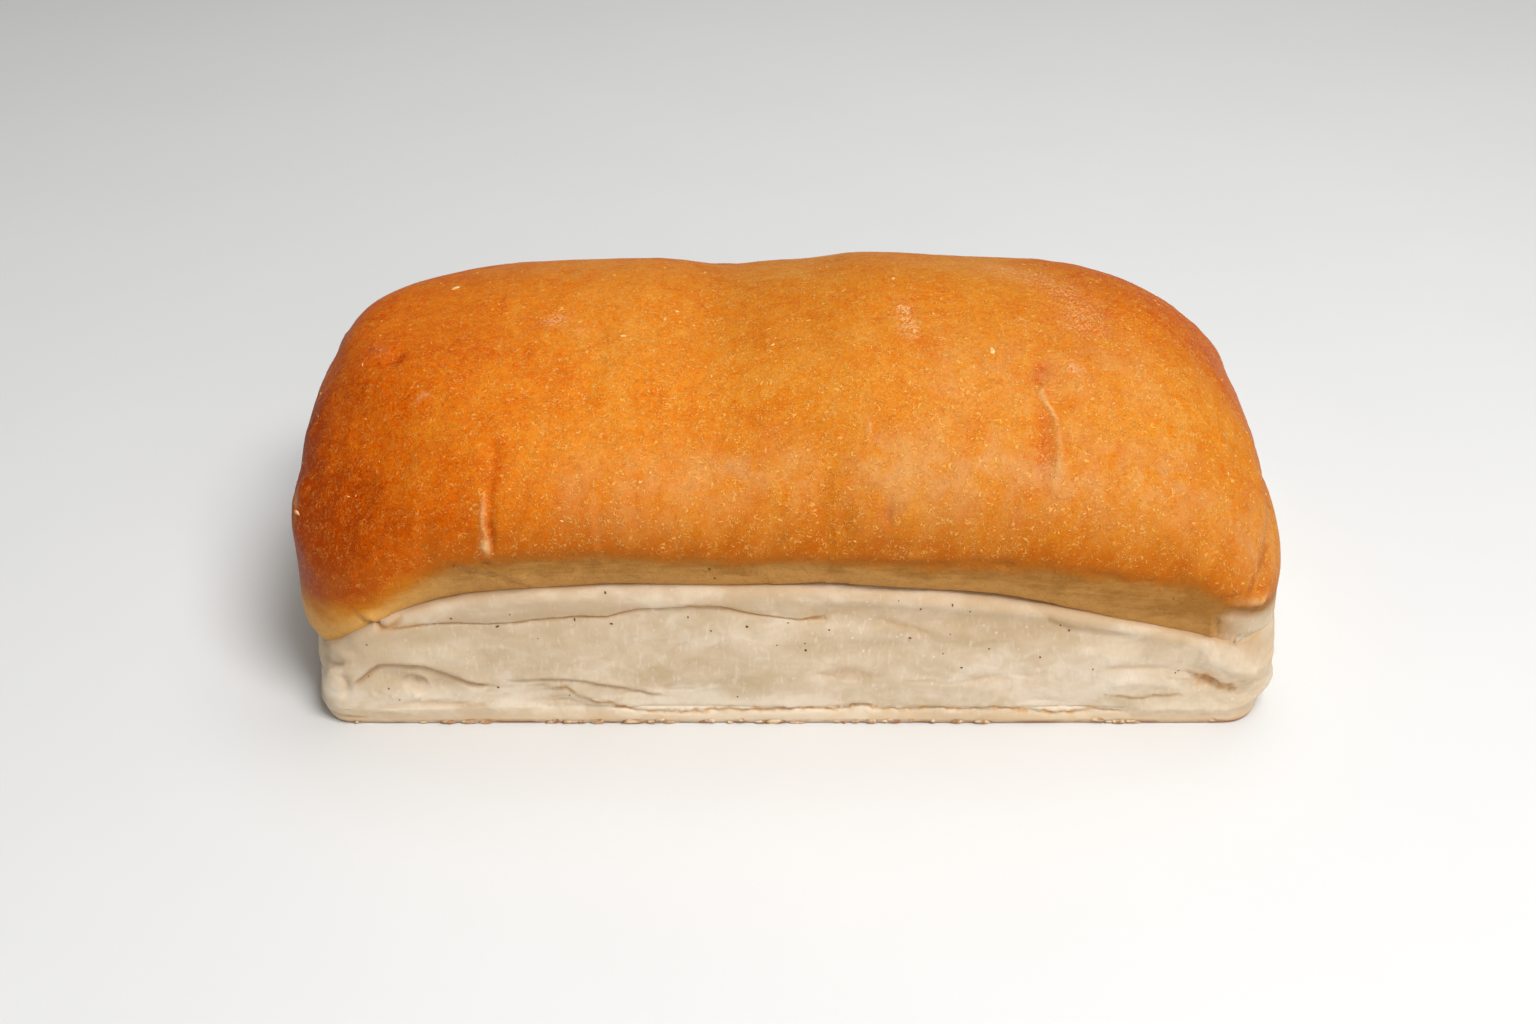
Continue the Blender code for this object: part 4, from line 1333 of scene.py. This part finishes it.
# Those that show, as (across, up), (across, long) and (view, across, up, long, wide).
BRAN_AT = ((-71, 44.2), (-73, 29.4), (-71, 27.6), (-46, 28.8), (-39, 36), (-38, 28), (-16, 43), (-15, 40),
           (-8, 27.4), (-63, 27), (-64, 10), (30, 32), (37, 33), (28, 24), (61, 27.4), (63, 26), (57, 19),
           (-56, 36), (5, 21))
TOAST_AT = ((-76, 3.4), (-71, 4.2), (-67.4, 3), (-49, 2.6), (-42, 3), (-34, 5), (-2, 5), (20, 2.6), (45, 3),
            (76, 3))
FLAKE_AT = (("top", 46.2, -23, 2.2, 1.2), ("top", -35.8, -16, 1.6, 0.9), ("top", -76.8, 10, 2.4, 1.6),
            ("front", -107.8, 47, 2.4, 1.0), ("top", -27, -8, 1.2, 0.7), ("top", -24.6, -4, 1.3, 0.7),
            ("top", 25.6, 3, 1.6, 0.9), ("top", -2, -20, 1.0, 0.6))
# Where the rest are strewn at random, as (view, half width, low, high, count).
BRAN_ZONES = (("front", 96, 6, 36, 26), ("back", 96, 6, 36, 40), ("left", 42, 6, 36, 14),
              ("right", 42, 6, 36, 14))
FLAKE_ZONES = (("top", 98, -46, 46, 64), ("front", 98, 50, 70, 26), ("back", 98, 48, 70, 40),
               ("left", 40, 40, 64, 24), ("right", 40, 40, 64, 18))
TOAST_ZONES = (("front", 98, 0.3, 1.3, 34), ("back", 98, 0.3, 1.3, 44), ("left", 44, 0.3, 1.3, 18),
               ("right", 44, 0.3, 1.3, 18))
# How lumpy and how bent a chip is, and how much of its thickness its middle stands out by.
CHIP_LUMPS = 0.16
CHIP_BEND = 0.25
CHIP_OUT = 0.1


def strewn(rng, zones, smallest, largest):
    """Chips at random places in each zone, with a length, width and thickness between these."""
    chips = []
    for view, half, low, high, count in zones:
        for _ in range(count):
            size = rng.uniform(smallest, largest)
            chips.append(Chip(view, rng.uniform(-half, half), rng.uniform(low, high), *size))
    return chips


def bran_chips(rng):
    shown = [Chip("front", x, z, *rng.uniform((0.5, 0.35, 0.25), (0.8, 0.5, 0.35))) for x, z in BRAN_AT]
    return shown + strewn(rng, BRAN_ZONES, (0.3, 0.2, 0.15), (0.6, 0.4, 0.3))


def flake_chips(rng):
    shown = [Chip(*flake, 0.4) for flake in FLAKE_AT]
    return shown + strewn(rng, FLAKE_ZONES, (0.4, 0.2, 0.2), (1.0, 0.35, 0.3))


def toast_chips(rng):
    """Torn and toasted scraps along the foot of the wall."""
    shown = [Chip("front", x, 0.9, long, 1.2, 0.8) for x, long in TOAST_AT]
    return shown + strewn(rng, TOAST_ZONES, (1.0, 0.5, 0.4), (3.0, 1.1, 0.8))


def make_chips(name, surface, rng, chips, material, lie_along):
    """One mesh of flat irregular chips, half sunk in the skin. Along the foot they lie along the wall."""
    ball = bmesh.new()
    bmesh.ops.create_icosphere(ball, subdivisions=2, radius=0.5 * MM)
    shape = np.array([v.co for v in ball.verts])
    corners = np.array([[v.index for v in f.verts] for f in ball.faces])
    ball.free()
    low, high = (np.array(corner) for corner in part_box("loaf"))
    points, faces = [], []
    for i, chip in enumerate(chips):
        places, normals = surface.lift(chip.view, ((chip.across, chip.up), (chip.across + 0.5, chip.up)))
        up = normals[0]
        along = np.cross((0, 0, 1), up) if lie_along else np.cross(rng.normal(size=3), up)
        along /= np.linalg.norm(along)
        wide = np.cross(up, along)
        lumps = shape * (1 + rng.normal(0, CHIP_LUMPS, (len(shape), 1)))
        lumps[:, 2] += CHIP_BEND * MM * rng.normal() * (lumps[:, 0] / MM) ** 2
        turned = lumps @ np.array([along * chip.long, wide * chip.wide, up * chip.thick])
        points.append(np.clip(places[0] + up * chip.thick * CHIP_OUT * MM + turned, low, high))
        faces.append(corners + i * len(shape))
    mesh = bpy.data.meshes.new(name)
    mesh.from_pydata(np.concatenate(points).tolist(), [], np.concatenate(faces).tolist())
    mesh.shade_smooth()
    mesh.materials.append(material)
    piece = add_object(name, mesh)
    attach(piece, "root")


def make_scattered(surface):
    bran = plain_material("bran", (0.10, 0.035, 0.012), (0.24, 0.10, 0.04), 0.8)
    flake = plain_material("flake", (0.82, 0.40, 0.09), (0.92, 0.62, 0.28), 1.5)
    toast = plain_material("toast", (0.40, 0.17, 0.05), (0.80, 0.60, 0.38), 2.5)
    for name, seed, chips, material, lie_along in (
        ("bran_specks", SPECK_SEED, bran_chips, bran, False),
        ("crust_flakes", FLAKE_SEED, flake_chips, flake, False),
        ("base_flakes", SCRAP_SEED, toast_chips, toast, True),
    ):
        rng = np.random.default_rng(seed)
        make_chips(name, surface, rng, chips(rng), material, lie_along)


# ---- Floor, lights and camera ----
CAMERA_AT = (-4.6 * MM, -443.5 * MM, 296 * MM)
CAMERA_DOWN = math.radians(31.77)
CAMERA_LENS = 50
SENSOR_WIDTH = 36
FLOOR_RADIUS = 6.0
FLOOR_CORNERS = 64
# (name, place, size, watts) of each light. All are turned to one place.
LIGHTS = (("key", (0.31, -0.48, 0.94), 0.50, 8.9), ("top", (0.15, 0.30, 1.0), 0.8, 3.7),
          ("front", (0.30, -1.08, 0.60), 0.9, 4.2))
LIGHTS_AIM = (0, 0, 0.04)
WORLD_STRENGTH = 0.12


def make_floor():
    mesh = bpy.data.meshes.new("floor")
    turns = np.linspace(0, math.tau, FLOOR_CORNERS, False)
    rim = [(FLOOR_RADIUS * math.cos(turn), FLOOR_RADIUS * math.sin(turn), 0) for turn in turns]
    mesh.from_pydata(rim, [], [tuple(range(len(rim)))])
    mesh.materials.append(floor_material())
    floor = add_object("floor", mesh)


def light_scene():
    for name, place, size, watts in LIGHTS:
        data = bpy.data.lights.new(name, "AREA")
        data.shape = "DISK"
        data.size = size
        data.energy = watts
        light = add_object(name, data)
        light.location = place
        light.rotation_euler = (Vector(LIGHTS_AIM) - Vector(place)).to_track_quat("-Z", "Y").to_euler()
    world = bpy.data.worlds.new("studio")
    world.use_nodes = True
    background = world.node_tree.nodes["Background"].inputs
    background["Color"].default_value = (1, 1, 1, 1)
    background["Strength"].default_value = WORLD_STRENGTH
    bpy.context.scene.world = world


def make_camera():
    data = bpy.data.cameras.new("camera")
    data.lens = CAMERA_LENS
    data.sensor_width = SENSOR_WIDTH
    camera = add_object("camera", data)
    camera.location = CAMERA_AT
    camera.rotation_euler = (math.pi / 2 - CAMERA_DOWN, 0, 0)
    bpy.context.scene.camera = camera


loaf, surface = make_loaf()
loaf.data.materials.append(loaf_material())
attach(loaf, "root")
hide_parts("loaf")
make_scattered(surface)
make_floor()
light_scene()
make_camera()
bpy.context.scene.view_settings.view_transform = "Standard"
